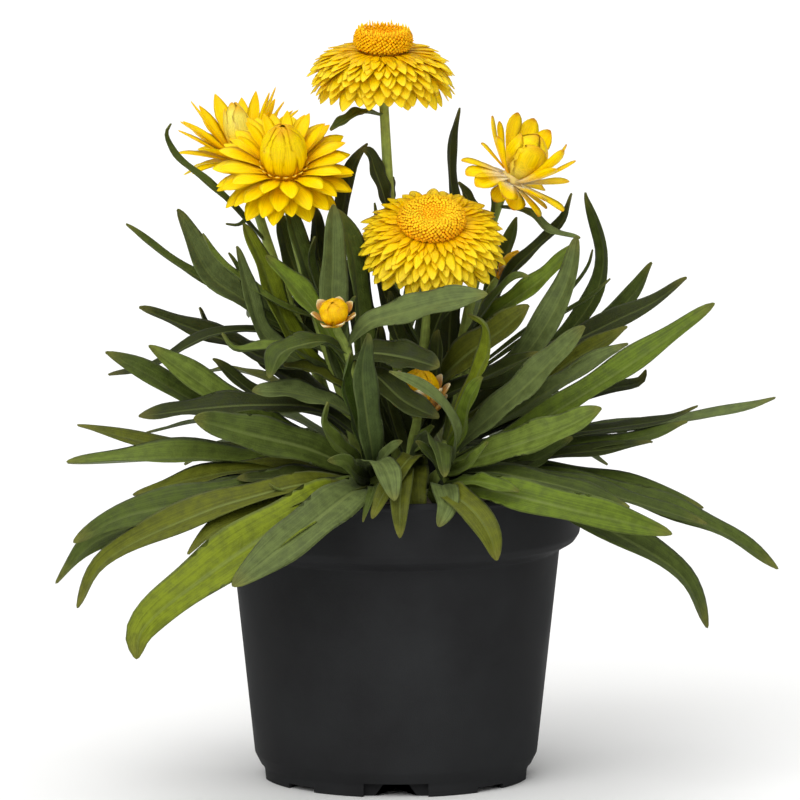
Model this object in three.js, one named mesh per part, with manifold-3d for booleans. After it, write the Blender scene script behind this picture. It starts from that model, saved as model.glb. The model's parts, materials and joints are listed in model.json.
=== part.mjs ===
// A potted strawflower: a black nursery pot full of soil, leafy stems, yellow papery blooms and buds.
// Millimetres, +Z up, the middle of the pot's foot at the origin, the front of the plant towards -Y.
import * as THREE from "three";
import { mergeVertices } from "three/addons/utils/BufferGeometryUtils.js";
import Module from "manifold-3d";

const wasm = await Module();
wasm.setup();

// Driving sizes of the pot
const POT_HEIGHT = 94;
const RIM_RADIUS = 60;
const COLLAR_FOOT_RADIUS = 57.2;
const COLLAR_FOOT_HEIGHT = 77;
const BODY_TOP_RADIUS = 51;
const BODY_TOP_HEIGHT = 72;
const BODY_FOOT_RADIUS = 44.1;
const BODY_FOOT_HEIGHT = 7.7;
const SKIRT_RADIUS = 41.7;
const SKIRT_HEIGHT = 3.6;
const WALL = 1.8;
const FLOOR_UNDERSIDE = 5.2;
const FLOOR_TOP = 7.2;
const POT_SIDES = 32;
const NOTCH_WIDTH = 20;
const NOTCH_HEIGHT = 4.3;
const SMALL_NOTCH_WIDTH = 11;
const SMALL_NOTCH_HEIGHT = 1.6;
const DRAIN_HOLES = 8;
const DRAIN_RADIUS = 3.5;
const DRAIN_RING = 27;
const HUB_RADIUS = 8;

// Driving sizes of the soil and of what stands in it
const GAP = 0.3;
const SOIL_HEIGHT = 84.5;
const SOIL_SWELL = 1.1;
const PLANTING_DEPTH = 14;
const STEM_CLEARANCE = 0.35;
const STEM_SIDES = 6;

// The plant is placed as it shows from in front, from a point 2.6 m away and a little above it.
// u runs across and v runs up in the upright plane through the pot's axis, square to the line of
// sight; the third number is the depth, along +Y.
const EYE = new THREE.Vector3(1.24, -2600, 471);
const AIM = new THREE.Vector3(1.24, 0, 118);
const AIM_V = 116;
const LOOK_DOWN = Math.atan2(EYE.z - AIM.z, AIM.y - EYE.y);
const UP = new THREE.Vector3(0, 0, 1);

function seen([u, v, depth]) {
  const rise = new THREE.Vector3(0, Math.sin(LOOK_DOWN), Math.cos(LOOK_DOWN));
  const onPlane = AIM.clone().addScaledVector(rise, v - AIM_V);
  onPlane.x += u - AIM.x;
  const ray = onPlane.sub(EYE);
  return EYE.clone().addScaledVector(ray, (depth - EYE.y) / ray.y);
}

// A seeded draw between -1 and 1, the same on each run.
function seededDraw(seed) {
  let state = seed * 2654435761 % 4294967296;
  return () => {
    state = (state * 1664525 + 1013904223) % 4294967296;
    return state / 2147483648 - 1;
  };
}

// A closed solid through rings of points, each ring with the same number of points, going round
// anticlockwise when looked at from the far end. A ring of one point closes the solid to a tip.
function loft(rings) {
  const points = [];
  const faces = [];
  const starts = rings.map((ring) => {
    const first = points.length;
    points.push(...ring);
    return first;
  });
  for (let i = 0; i + 1 < rings.length; i++) {
    const [a, b] = [starts[i], starts[i + 1]];
    const [m, n] = [rings[i].length, rings[i + 1].length];
    for (let j = 0; j < Math.max(m, n); j++) {
      const k = (j + 1) % Math.max(m, n);
      if (n > 1) faces.push([a + (m > 1 ? j : 0), b + k, b + j]);
      if (m > 1) faces.push([a + j, a + k, b + (n > 1 ? k : 0)]);
    }
  }
  const last = rings.length - 1;
  for (let j = 1; j + 1 < rings[0].length; j++) {
    faces.push([starts[0], starts[0] + j + 1, starts[0] + j]);
  }
  for (let j = 1; j + 1 < rings[last].length; j++) {
    faces.push([starts[last], starts[last] + j, starts[last] + j + 1]);
  }
  const geometry = new THREE.BufferGeometry();
  geometry.setAttribute(
    "position",
    new THREE.Float32BufferAttribute(points.flatMap((p) => [p.x, p.y, p.z]), 3),
  );
  geometry.setIndex(faces.flat());
  return geometry;
}

// Solids for joining and cutting, and back again
function solid(geometry) {
  const bare = geometry.clone();
  bare.deleteAttribute("normal");
  bare.deleteAttribute("uv");
  const merged = mergeVertices(bare, 1e-4);
  return new wasm.Manifold(
    new wasm.Mesh({
      numProp: 3,
      vertProperties: merged.getAttribute("position").array,
      triVerts: new Uint32Array(merged.getIndex().array),
    }),
  );
}

function fuse(geometries) {
  return geometries.map(solid).reduce((whole, piece) => whole.add(piece));
}

// A fused node is cleaned of the slivers that joining leaves, at the first of these edge lengths
// that keeps it closed once corners closer than MERGE are taken as one.
const SHORTEST_EDGES = [0.15, 0.12, 0.18, 0.09, 0.22, 0.06, 0.03, 0.015, 0.005, 0.001];
const MERGE = 1e-4;

function staysClosed(geometry) {
  const bare = geometry.clone();
  bare.deleteAttribute("normal");
  const merged = mergeVertices(bare, MERGE);
  const count = merged.getAttribute("position").count;
  const corners = merged.getIndex().array;
  const edges = new Set();
  for (let i = 0; i < corners.length; i += 3) {
    const [a, b, c] = corners.slice(i, i + 3);
    if (a === b || b === c || c === a) continue;
    for (const edge of [a * count + b, b * count + c, c * count + a]) {
      if (edges.has(edge)) return false;
      edges.add(edge);
    }
  }
  return [...edges].every((edge) => edges.has((edge % count) * count + Math.floor(edge / count)));
}

function backToGeometry(manifold) {
  let geometry = null;
  for (const shortest of SHORTEST_EDGES) {
    const largest = manifold
      .simplify(shortest)
      .decompose()
      .reduce((best, piece) => (piece.volume() > best.volume() ? piece : best));
    const mesh = largest.getMesh();
    geometry = new THREE.BufferGeometry();
    geometry.setAttribute("position", new THREE.BufferAttribute(mesh.vertProperties, 3));
    geometry.setIndex(new THREE.BufferAttribute(mesh.triVerts, 1));
    geometry.computeVertexNormals();
    if (staysClosed(geometry)) break;
  }
  return geometry;
}

function finish(color, roughness) {
  return new THREE.MeshStandardMaterial({ color, roughness, metalness: 0 });
}

const plant = new THREE.Group();

function place(name, geometry, material) {
  const mesh = new THREE.Mesh(geometry, material);
  mesh.name = name;
  plant.add(mesh);
}

// Pot

function box(width, depth, height, angle, radius) {
  return new THREE.BoxGeometry(width, depth, height)
    .translate(0, -radius, 0)
    .rotateZ(angle);
}

function potShell() {
  const innerTop = RIM_RADIUS - WALL;
  const bodyWall = WALL * 0.8;
  const profile = [
    [0, 0],
    [HUB_RADIUS, 0],
    [HUB_RADIUS, FLOOR_UNDERSIDE],
    [SKIRT_RADIUS - bodyWall, FLOOR_UNDERSIDE],
    [SKIRT_RADIUS - bodyWall, 0],
    [SKIRT_RADIUS, 0],
    [SKIRT_RADIUS + 0.3, SKIRT_HEIGHT],
    [BODY_FOOT_RADIUS, BODY_FOOT_HEIGHT],
    [BODY_TOP_RADIUS, BODY_TOP_HEIGHT],
    [COLLAR_FOOT_RADIUS - 1.4, COLLAR_FOOT_HEIGHT - 2.2],
    [COLLAR_FOOT_RADIUS, COLLAR_FOOT_HEIGHT],
    [RIM_RADIUS - 0.9, POT_HEIGHT - 2.4],
    [RIM_RADIUS, POT_HEIGHT - 1.6],
    [RIM_RADIUS - 0.5, POT_HEIGHT],
    [innerTop, POT_HEIGHT],
    [COLLAR_FOOT_RADIUS - WALL, COLLAR_FOOT_HEIGHT + 1],
    [BODY_TOP_RADIUS - bodyWall, BODY_TOP_HEIGHT + 0.8],
    [BODY_FOOT_RADIUS - bodyWall, FLOOR_TOP + 1],
    [BODY_FOOT_RADIUS - bodyWall - 1, FLOOR_TOP],
    [0, FLOOR_TOP],
  ].map(([radius, height]) => new THREE.Vector2(radius, height));
  return new THREE.LatheGeometry(profile, POT_SIDES).rotateX(Math.PI / 2);
}

// The skirt under the floor is notched: four wide notches and four low ones between them.
// Behind each wide notch stands a set-back wall with a narrower mouth that flares downwards.
function setBackWall(angle) {
  const [top, foot, half] = [3.8, 6.5, NOTCH_WIDTH / 2 + 1.5];
  const outline = new THREE.Shape([
    new THREE.Vector2(-half, 0),
    new THREE.Vector2(-foot, 0),
    new THREE.Vector2(-top, NOTCH_HEIGHT - 0.6),
    new THREE.Vector2(top, NOTCH_HEIGHT - 0.6),
    new THREE.Vector2(foot, 0),
    new THREE.Vector2(half, 0),
    new THREE.Vector2(half, FLOOR_UNDERSIDE + 0.6),
    new THREE.Vector2(-half, FLOOR_UNDERSIDE + 0.6),
  ]);
  return new THREE.ExtrudeGeometry(outline, { depth: WALL, bevelEnabled: false })
    .rotateX(Math.PI / 2)
    .translate(0, -(SKIRT_RADIUS - 5.4), 0)
    .rotateZ(angle);
}

function pot() {
  let body = solid(potShell());
  for (let i = 0; i < 4; i++) {
    const angle = (i * Math.PI) / 2;
    const wide = box(NOTCH_WIDTH, 5, 2 * NOTCH_HEIGHT, angle, SKIRT_RADIUS - 0.5);
    const low = box(SMALL_NOTCH_WIDTH, 5, 2 * SMALL_NOTCH_HEIGHT, angle + Math.PI / 4, SKIRT_RADIUS - 0.5);
    body = body.subtract(solid(wide)).subtract(solid(low)).add(solid(setBackWall(angle)));
  }
  for (let i = 0; i < DRAIN_HOLES; i++) {
    const angle = ((i + 0.5) * 2 * Math.PI) / DRAIN_HOLES;
    const hole = new THREE.CylinderGeometry(DRAIN_RADIUS, DRAIN_RADIUS, 12, 10)
      .rotateX(Math.PI / 2)
      .translate(DRAIN_RING * Math.cos(angle), DRAIN_RING * Math.sin(angle), FLOOR_TOP);
    body = body.subtract(solid(hole));
  }
  return backToGeometry(body);
}

// Stems and leaves

// A round tube along a smooth line, its radius running evenly from root to end.
function stemTube(curve, [rootRadius, endRadius], steps) {
  const rings = [];
  const side = new THREE.Vector3(1, 0, 0);
  for (let i = 0; i <= steps; i++) {
    const share = i / steps;
    const along = curve.getTangentAt(share);
    side.addScaledVector(along, -side.dot(along)).normalize();
    const across = new THREE.Vector3().crossVectors(along, side);
    const radius = rootRadius + (endRadius - rootRadius) * share;
    rings.push(ringAround(curve.getPointAt(share), side, across, radius));
  }
  return loft(rings);
}

function nearestOn(curve, point) {
  return curve
    .getSpacedPoints(160)
    .reduce((best, here) => (here.distanceTo(point) < best.distanceTo(point) ? here : best));
}

function ringAround(centre, side, across, radius) {
  return Array.from({ length: STEM_SIDES }, (_, j) => {
    const angle = (j * 2 * Math.PI) / STEM_SIDES;
    return centre
      .clone()
      .addScaledVector(side, radius * Math.cos(angle))
      .addScaledVector(across, radius * Math.sin(angle));
  });
}

// Half the outline of a leaf: a narrow foot, widest a little past the middle, a pointed tip.
const WIDEST = 0.6;
const FOOT_SHARE = 0.15;
function leafOutline(share) {
  const [a, b] = [WIDEST * 1.45, (1 - WIDEST) * 1.45];
  const peak = WIDEST ** a * (1 - WIDEST) ** b;
  return (share ** a * (1 - share) ** b) / peak + FOOT_SHARE * (1 - share) ** 2;
}

const LEAF_RINGS = [0, 0.22, 0.46, 0.7, 0.89];
const LEAF_KEEL = 0.85;
const LEAF_SINK = 0.55;

// The way a leaf's upper face points at each ring. Left to itself it faces up and towards its
// stem. With a share given, the leaf is turned about its own line until that share of its width
// shows from the front at its middle, and from there on it runs without a twist both ways.
function faceDirections(centres, tangents, show) {
  const out = centres[centres.length - 1].clone().sub(centres[0]).setZ(0).normalize();
  const level = new THREE.Vector3().crossVectors(UP, out);
  const natural = tangents.map((t) => new THREE.Vector3().crossVectors(t, level).normalize());
  if (show === null) return natural;
  const middle = Math.floor(centres.length / 2);
  const along = tangents[middle];
  const toEye = EYE.clone().sub(centres[middle]).normalize();
  const facing = toEye.addScaledVector(along, -toEye.dot(along)).normalize();
  const turned = new THREE.Vector3().crossVectors(along, facing);
  const sign = Math.sign(natural[middle].dot(turned)) || 1;
  const faces = [];
  faces[middle] = facing.multiplyScalar(show).addScaledVector(turned, sign * Math.sqrt(1 - show * show));
  const carry = (from, to) => {
    const turn = new THREE.Quaternion().setFromUnitVectors(tangents[from], tangents[to]);
    faces[to] = faces[from].clone().applyQuaternion(turn);
  };
  for (let i = middle; i > 0; i--) carry(i, i - 1);
  for (let i = middle; i + 1 < tangents.length; i++) carry(i, i + 1);
  return faces;
}

// A blade over a keel: left edge, right edge, keel. The more the leaf is folded, the further the
// edges stand above its line and the keel below it.
// Its root is moved to the middle of the stem, so that it is sunk well in.
function leafBlade([width, show, fold, ...points], stemCurve) {
  const places = points.map(seen);
  places[0] = nearestOn(stemCurve, places[0]);
  const curve = new THREE.CatmullRomCurve3(places, false, "centripetal");
  const shares = [...LEAF_RINGS, 1];
  const centres = shares.map((s) => curve.getPointAt(s));
  const tangents = shares.map((s) => curve.getTangentAt(s));
  const faces = faceDirections(centres, tangents, show);
  const trueWidth = show === null ? width : width / Math.abs(show);
  const rings = LEAF_RINGS.map((share, i) => {
    const side = new THREE.Vector3().crossVectors(tangents[i], faces[i]);
    const half = (trueWidth / 2) * leafOutline(share);
    const keel = LEAF_KEEL * (1 - 0.45 * share);
    const sink = LEAF_SINK * half * fold;
    const lift = half * fold - sink;
    return [
      centres[i].clone().addScaledVector(side, -half).addScaledVector(faces[i], lift),
      centres[i].clone().addScaledVector(side, half).addScaledVector(faces[i], lift),
      centres[i].clone().addScaledVector(faces[i], -keel - sink),
    ];
  });
  return loft([...rings, [centres[centres.length - 1]]]);
}

// Leafy stems. Each has its line from the soil up, its radii, and its leaves: width as seen, share
// of the width that shows from the front (null for a leaf left to itself), fold of the V, then
// points from the root to the tip. A crown is the swelling of a stem that many leaves grow from:
// its radius, its length and the height of its middle.
const LEAFY_STEMS = {
  leafy_stem_left: {
    line: [[-7, 84, -30], [-7.5, 92, -30], [-10, 105, -30], [-13.5, 125, -31], [-15.9, 133, -32],
      [-18.3, 137.6, -33.4]],
    radii: [2.1, 1.3],
    crown: [4.4, 12, 94.5],
    leaves: [
      [6.5, 0.6, 0.3, [-12.5, 116, -31], [-17, 130, -27], [-24, 143, -25], [-32, 152.5, -24],
        [-40.5, 161, -23]],
      [3, 0.4, 0.3, [-12, 112, -30], [-20, 140, -18], [-25, 154, -15], [-26.5, 160, -15], [-25, 167, -16]],
      [8.5, 0.9, 0.25, [-10.5, 108, -30], [-17, 128, -24], [-19.5, 146, -20], [-19.3, 160, -19],
        [-19.5, 177, -20]],
      [6.5, 0.6, 0.35, [-10, 104, -29], [-10, 130, -18], [-10.5, 143, -14], [-13.5, 165, -13],
        [-18.5, 175.5, -15]],
      [6, 0.6, 0.3, [-15, 130, -31], [-21, 134.5, -34], [-30, 133.7, -38], [-36.4, 130.6, -41],
        [-39.5, 122.7, -43]],
      [2.2, 0.35, 0.4, [-14, 125, -31], [-22, 134, -29], [-40, 133, -31], [-50, 132.2, -32], [-54, 137, -33]],
      [1.6, 0.5, 0.3, [-16.5, 135, -32], [-15, 144, -29], [-12.7, 148.5, -28]],
      [3, 0.4, 0.3, [-12.5, 117, -31], [-19, 122, -33], [-26.7, 126, -35], [-35, 127, -36]],
      [6.5, 0.5, 0.2, [-9.5, 104, -30], [-23.6, 113.5, -31], [-42.3, 115, -31], [-61, 113.8, -30],
        [-80.2, 111, -28]],
      [6, 0.6, 0.3, [-10, 110, -31], [-20.5, 115.7, -35], [-33, 119, -38], [-44.8, 118.8, -40]],
      [11, 0.85, 0.25, [-8, 92, -31], [-26.7, 101, -39], [-45.4, 105.7, -44], [-63, 110.4, -47]],
      [4, 0.6, 0.3, [-8, 93, -32], [-14, 99, -42], [-19.5, 104, -50], [-22.4, 109, -53], [-21, 115.5, -54]],
      [6, 0.4, 0.4, [-8, 91.5, -29], [-20, 94, -27], [-45.4, 97.8, -23], [-67, 99.3, -19],
        [-102.6, 96.8, -13]],
      [4.5, 0.5, 0.2, [-8, 91, -28], [-30, 97, -19], [-50, 100, -13], [-75, 102.8, -8], [-99.3, 108.4, -5]],
      [5, 0.4, 0.2, [-8, 90.5, -29], [-30, 95, -31], [-50, 94.5, -31], [-65, 91.5, -30], [-82, 86.5, -29]],
      [10, 0.75, 0.25, [-8, 90, -31], [-22, 91, -40], [-38, 89.5, -48], [-55, 85.8, -52], [-85, 80, -50],
        [-100.5, 71.7, -47]],
      [8.5, 0.65, 0.25, [-8, 90, -29], [-30, 92, -36], [-47, 89, -41], [-62, 83.5, -43], [-94, 72.3, -40],
        [-106, 58.9, -37]],
      [8, 0.6, 0.25, [-8, 89.5, -33], [-28, 90.5, -52], [-45, 86.5, -59], [-60, 81.8, -61],
        [-91.5, 65.7, -58], [-99.3, 51.2, -55]],
      [14, 0.85, 0.3, [-8, 89.5, -31], [-20, 86.8, -52], [-30, 81.3, -62], [-58, 62.8, -74],
        [-79.5, 44, -80], [-80.8, 35.3, -80]],
      [6, 0.5, 0.25, [-8, 90, -31], [-18, 89, -53], [-30, 86, -59], [-45, 80.5, -64], [-57, 75.5, -67],
        [-65, 68, -68]],
      [12.5, 0.9, 0.2, [-8, 88.5, -33], [-13, 88, -56], [-23.6, 80, -71], [-36, 70, -80], [-51, 58, -85]],
      [2.5, 0.4, 0.4, [-8, 91, -32], [-14, 91, -43], [-30, 88.5, -54], [-36, 88, -57], [-39.5, 90.2, -58]],
      [5, 0.5, 0.25, [-8, 91.5, -31], [-20, 93, -40], [-33, 92.6, -46], [-49.5, 91.5, -49]],
      [4, 0.7, 0.2, [-8, 90.5, -33], [-12, 93, -50], [-16, 97, -57], [-21.3, 97.2, -60]],
      [3, 0.8, 0.2, [-7, 88, -34], [-7.2, 88.5, -57], [-8.8, 83.5, -63.5], [-10.4, 78, -65]],
      [9, null, 0.2, [-8, 91, -33], [-8.5, 96.5, -46], [-4.5, 97, -57], [-2, 92, -65], [-0.5, 84.6, -70]],
      [3, 0.7, 0.2, [-7, 93, -33], [-5.6, 96.4, -42], [-1.9, 101, -50], [1.9, 103.3, -54]],
      [7.5, 0.75, 0.25, [-13, 123, -31], [-7.5, 124.7, -38], [2.8, 116, -45], [13.4, 110.4, -49]],
      [8.5, 0.75, 0.25, [-14.5, 128, -32], [-9, 131, -38], [2.8, 129.7, -44], [13.5, 126.3, -49]],
      [7.5, 0.8, 0.3, [-7, 92, -33], [-6.8, 97, -41], [-8.7, 111.3, -49], [-10, 125.3, -53],
        [-8.5, 136.8, -55]],
      [4, 0.5, 0.3, [-8, 93, -32], [-9.3, 99, -37], [-12.4, 109.8, -42], [-15.5, 121.6, -46],
        [-13.7, 131, -47]],
      [8, 0.75, 0.25, [-15.5, 132.5, -32], [-9, 140, -34], [0, 143, -37], [15, 147, -41], [28.5, 149, -43]],
    ],
  },
  leafy_stem_right: {
    line: [[13, 84, -30], [13.3, 92, -30], [14.5, 98, -31], [15.5, 103, -32]],
    radii: [2, 1.3],
    crown: [4.2, 11, 95],
    leaves: [
      [9, 0.8, 0.3, [14, 93.6, -30], [26, 98.6, -36], [38.6, 103, -42], [51, 107.3, -46], [64, 113.5, -48]],
      [6, 0.5, 0.25, [14, 92, -29], [23, 93.3, -29], [41.7, 97.3, -31], [55, 104.5, -31]],
      [8, 0.75, 0.3, [15, 98, -30], [27.7, 110, -34], [40, 120.7, -38], [51, 131.6, -41], [58.8, 139, -42]],
      [3.5, 0.4, 0.3, [15, 101, -31], [24.6, 123.8, -40], [28, 131.6, -43], [27.4, 139.3, -43],
        [22, 142.7, -41]],
      [4.5, 0.6, 0.35, [15, 97, -31], [19.9, 105.7, -38], [22.3, 116, -44], [26.8, 123.3, -47]],
      [3, 0.6, 0.3, [14, 92, -32], [21.8, 96, -45], [24.8, 98.7, -50], [28.5, 103, -54]],
      [7.5, 0.7, 0.3, [14.5, 96, -29], [32, 103, -26], [60.3, 119.7, -25], [85, 136, -23],
        [99.2, 146.2, -21]],
      [3.5, 0.4, 0.25, [13.5, 94, -28], [23, 96, -24], [59, 106, -12], [94.5, 111, -6],
        [111.6, 114.6, -3], [118.2, 117, -2]],
      [3, 0.5, 0.2, [40, 101, -20], [69.7, 108, -16], [85.8, 110.7, -14], [94, 114.4, -13]],
      [4.5, 0.5, 0.2, [13.5, 93.5, -28], [30, 97, -27], [54, 101.5, -21], [79, 105.4, -19],
        [90.8, 109.5, -18]],
      [4, 0.5, 0.2, [13.5, 93, -28], [30, 96, -30], [54, 99.8, -26], [66.6, 101, -25], [79.6, 103.3, -24]],
      [6.5, 0.55, 0.25, [14, 92.5, -29], [26, 95, -29], [57, 90.4, -34], [76, 85.6, -35],
        [104, 74.2, -33], [119, 63.4, -31]],
      [5, 0.5, 0.25, [14, 92, -30], [28, 94.5, -36], [54, 90.5, -43], [82, 82.4, -43], [97, 77.4, -42]],
      [4.5, 0.5, 0.25, [14, 92.5, -28], [28, 95, -25], [44.8, 94.8, -24], [82, 88, -24], [95.8, 82.4, -23]],
      [9.5, 0.8, 0.25, [13.5, 89.5, -31], [29, 88.4, -54], [44.8, 84.8, -63], [57, 81.8, -65],
        [72.8, 78, -64], [86, 74.3, -62]],
      [8.5, 0.6, 0.3, [14, 90.5, -31], [32, 89.2, -48], [46, 85.7, -54], [68, 75.6, -55], [90, 61, -52],
        [97, 45, -49]],
      [5, 0.5, 0.25, [14, 92, -31], [27.7, 94.2, -38], [41.7, 92, -46], [57, 88.3, -51], [72.8, 82.7, -53]],
      [4.5, 0.6, 0.2, [13, 89.5, -33], [26, 91, -57], [38.3, 87.5, -66]],
      [8.5, 0.9, 0.2, [13.2, 88.5, -33], [17, 87.6, -57], [24.6, 81.2, -66], [29.2, 74, -70],
        [31.4, 66, -71]],
      [8, null, 0.15, [12.8, 88.5, -34], [15, 89, -55], [16, 83, -64], [13.2, 76.5, -66]],
      [3.2, 0.6, 0.3, [13, 88.5, -34], [14.6, 92.4, -45], [11.2, 98.6, -53], [6.2, 103.3, -57]],
      [3.6, 0.6, 0.3, [14, 92, -32], [18.7, 101, -48], [19, 106.7, -53], [14.6, 115, -58],
        [7.5, 120.7, -60], [-2.2, 125, -61]],
    ],
  },
  leafy_stem_middle: {
    line: [[4, 84, -22], [4.2, 92, -22], [5, 103, -24], [6.3, 108.5, -26]],
    radii: [1.9, 1.4],
    leaves: [
      [4, 0.45, 0.25, [5.3, 105, -24.5], [12.8, 116.3, -30], [22.8, 121.5, -36], [34.7, 127, -43],
        [44.2, 131, -47]],
      [3.5, 0.6, 0.3, [4.8, 103, -24], [7, 102.6, -34], [11.5, 108, -39]],
      [14, null, 0.12, [4, 93, -22], [3.4, 97.5, -38], [3, 93.5, -53], [4, 86, -62], [6.5, 77.8, -65]],
      [7, null, 0.2, [4.2, 91.5, -22], [2.5, 95, -42], [1.8, 92, -58], [1.2, 83, -67], [1.2, 73, -69]],
      [7, null, 0.2, [4.2, 93, -22], [5.5, 99, -42], [3, 97, -52], [-4, 87, -62], [-7.5, 79, -64]],
      [6, 0.7, 0.25, [4.6, 97, -22], [12, 104, -34], [14, 100, -44], [15, 92, -50]],
      [5.5, 0.6, 0.3, [4.4, 95, -22], [9, 108, -20], [12, 124, -18], [13, 138, -18]],
      [5, 0.6, 0.3, [4.4, 95, -22], [0, 108, -18], [-4, 124, -14], [-5, 140, -12]],
    ],
  },
  leafy_stem_front_bloom: {
    line: [[5, 84, -3], [5.4, 95, -3], [7.5, 120, -6], [10, 145, -9], [11.1, 164.2, -8.4]],
    radii: [2.2, 1.5],
    leaves: [
      [9, 0.7, 0.25, [7, 116, -4], [15.2, 124.7, -14], [23, 131.6, -20], [32.3, 138, -24],
        [41.4, 145.5, -26]],
      [1.6, 0.5, 0.3, [8, 132, -5], [-1, 150, -3], [-5.5, 166, -1], [-6.5, 177.5, 0]],
      [6, 0.6, 0.3, [8, 128, -5], [1, 140, -8], [-4, 152, -10], [-7, 164, -10]],
      [6, 0.6, 0.3, [8, 130, -5], [13, 142, -14], [17, 150, -19], [19, 157, -21]],
      [5, 0.6, 0.3, [7.5, 122, -4], [2, 133, -12], [-1, 142, -16], [-2, 150, -17]],
      [8, 0.85, 0.2, [5.4, 97, -3], [3, 104, -8], [0, 112, -12], [-3, 121, -13]],
      [8, 0.85, 0.2, [5.4, 98, -3], [9, 106, -8], [13, 114, -10], [17, 122, -11]],
    ],
  },
  leafy_stem_top_bloom: {
    line: [[0, 84, 9], [0, 95, 9], [-0.2, 130, 11], [-1.2, 165, 11.5], [-2.6, 186, 10.5], [-4.2, 216.3, 8]],
    radii: [2.3, 1.4],
    leaves: [
      [4.6, 0.7, 0.3, [-1.6, 172, 9], [-3.8, 181, 6], [-6.3, 188, 5], [-8, 192.8, 4.5], [-10.4, 194, 4]],
      [2.5, 0.6, 0.3, [-1.8, 174, 8.5], [-1.2, 180, 6.4], [-1, 185.5, 5.6]],
      [3, 0.5, 0.3, [-3.8, 205, 8], [-10.5, 206, 3], [-15.5, 203.5, 0], [-20.6, 200, -2]],
      [6, null, 0.3, [-0.1, 126, 10], [4, 143, 28], [6, 152, 46], [7, 153, 60]],
      [6, null, 0.3, [-0.1, 118, 10], [-6, 134, 28], [-10, 145, 46], [-12, 148, 64]],
      [7, 0.6, 0.3, [-0.1, 108, 10], [6, 128, 20], [12, 146, 26], [14, 160, 28]],
      [8, 0.75, 0.3, [-0.1, 110, 10], [-8, 130, 18], [-12.5, 148, 22], [-13.5, 166, 23]],
      [8, 0.8, 0.3, [0, 97, 9], [-5, 106, 4], [-10, 118, 2], [-13, 130, 2]],
      [8, 0.8, 0.3, [0, 98, 9], [6, 108, 4], [10, 120, 2], [13, 132, 2]],
    ],
  },
  leafy_stem_left_bloom: {
    line: [[-11, 84, -3], [-11.3, 95, -3], [-15, 112, -4], [-24, 140, -5], [-31.5, 167, -4],
      [-34.5, 182.3, -1]],
    radii: [2.3, 1.5],
    leaves: [
      [6.5, 0.7, 0.3, [-18, 122, -5], [-28, 131, -9], [-34, 140, -11], [-42, 160, -10], [-47.5, 171, -9]],
      [6.5, 0.7, 0.3, [-17.5, 120, -5], [-21.5, 140, -12], [-24.5, 149, -14], [-31.5, 170, -12],
        [-34, 178, -11.5]],
      [5.5, 0.7, 0.3, [-16.5, 117, -4.5], [-18, 150, 0], [-18, 165, 3], [-14, 188, 5], [-8.8, 196, 5]],
      [3, 0.5, 0.3, [-22, 134, -5], [-35, 142, -1], [-50, 148.5, 1], [-70, 160, 3], [-84, 171, 4]],
      [8, 0.7, 0.4, [-21, 130, -5], [-35, 140, -6], [-48, 148.5, -7], [-57, 155, -7], [-68, 175.5, -6]],
      [2, 0.4, 0.3, [-24.5, 142, -5], [-35, 145.5, -13], [-45, 152, -16], [-56, 161, -17], [-60, 168, -17]],
      [5, 0.7, 0.3, [-19, 125, -5], [-33, 130, -14], [-41, 137, -18], [-46, 152, -19], [-49.5, 164, -19]],
      [2.5, 0.6, 0.3, [-22, 134, -5], [-44, 145, -13], [-49, 157, -14], [-52, 162, -14]],
      [5.5, 0.5, 0.2, [-18.5, 124, -5], [-40, 129, 0], [-50, 134, 2], [-60, 137.5, 3], [-80, 145, 4]],
      [2.5, 0.4, 0.3, [-19.5, 127, -5], [-40, 137.5, -6], [-58, 136.5, -7], [-78, 126, -8], [-89.7, 124, -8]],
      [7.5, 0.65, 0.25, [-12.5, 99, -3], [-35, 105, -12], [-60, 115, -16], [-80, 126, -18],
        [-90.5, 131, -18]],
      [8.5, 0.75, 0.25, [-12.5, 99, -3], [-30, 104, -14], [-48, 113.5, -22], [-66, 125.5, -25],
        [-77, 133, -26]],
      [4.5, 0.6, 0.2, [-14.5, 110, -4], [-30, 114, -8], [-42, 117.5, -10], [-57, 129, -11]],
      [7, 0.8, 0.3, [-24, 140, -5], [-28, 150, 3], [-33, 162, 6], [-36, 174, 7]],
      [7, 0.8, 0.3, [-18, 122, -4.5], [-20, 144, 4], [-23.5, 160, 7], [-25, 176, 8]],
      [7, 0.6, 0.25, [-13, 103, -3], [-24, 117, 1], [-33, 123.5, 2], [-43, 128, 2]],
    ],
  },
  leafy_stem_back_left_bloom: {
    line: [[-16, 84, 13], [-16.3, 95, 13], [-23, 120, 14], [-34, 148, 16], [-41, 168, 22.5],
      [-46, 185, 26.7]],
    radii: [2.2, 1.4],
    leaves: [
      [2.3, 0.6, 0.3, [-40.5, 167, 13], [-54, 180, 10], [-69, 193, 9], [-71.4, 199, 9], [-69.7, 202, 9]],
      [1.6, 0.6, 0.3, [-43, 176, 13], [-43.8, 176, 8], [-46, 172.6, 4], [-49, 170.7, 3], [-53, 171, 3]],
      [3, 0.5, 0.3, [-27, 131, 13], [-46, 133, 12], [-57, 137, 10], [-61, 145, 9]],
      [4, null, 0.3, [-25, 126, 13], [-38, 140, 30], [-44, 144, 48], [-46, 142, 62]],
      [6, null, 0.3, [-20, 110, 13], [-38, 122, 30], [-52, 126, 44], [-64, 124, 54]],
      [6, null, 0.3, [-18, 102, 13], [-30, 110, 38], [-38, 112, 58], [-44, 108, 76]],
      [7, null, 0.3, [-29, 138, 13], [-27, 152, 26], [-24, 160, 38], [-22, 160, 50]],
      [6, null, 0.3, [-17, 99, 13], [-40, 108, 22], [-60, 110, 28], [-78, 106, 32]],
      [8, null, 0.3, [-16.3, 94, 13], [-26, 105, 34], [-34, 106, 56], [-40, 97, 80]],
      [8, null, 0.3, [-16.3, 96, 13], [-16, 108, 34], [-17, 110, 54], [-18, 104, 74]],
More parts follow.
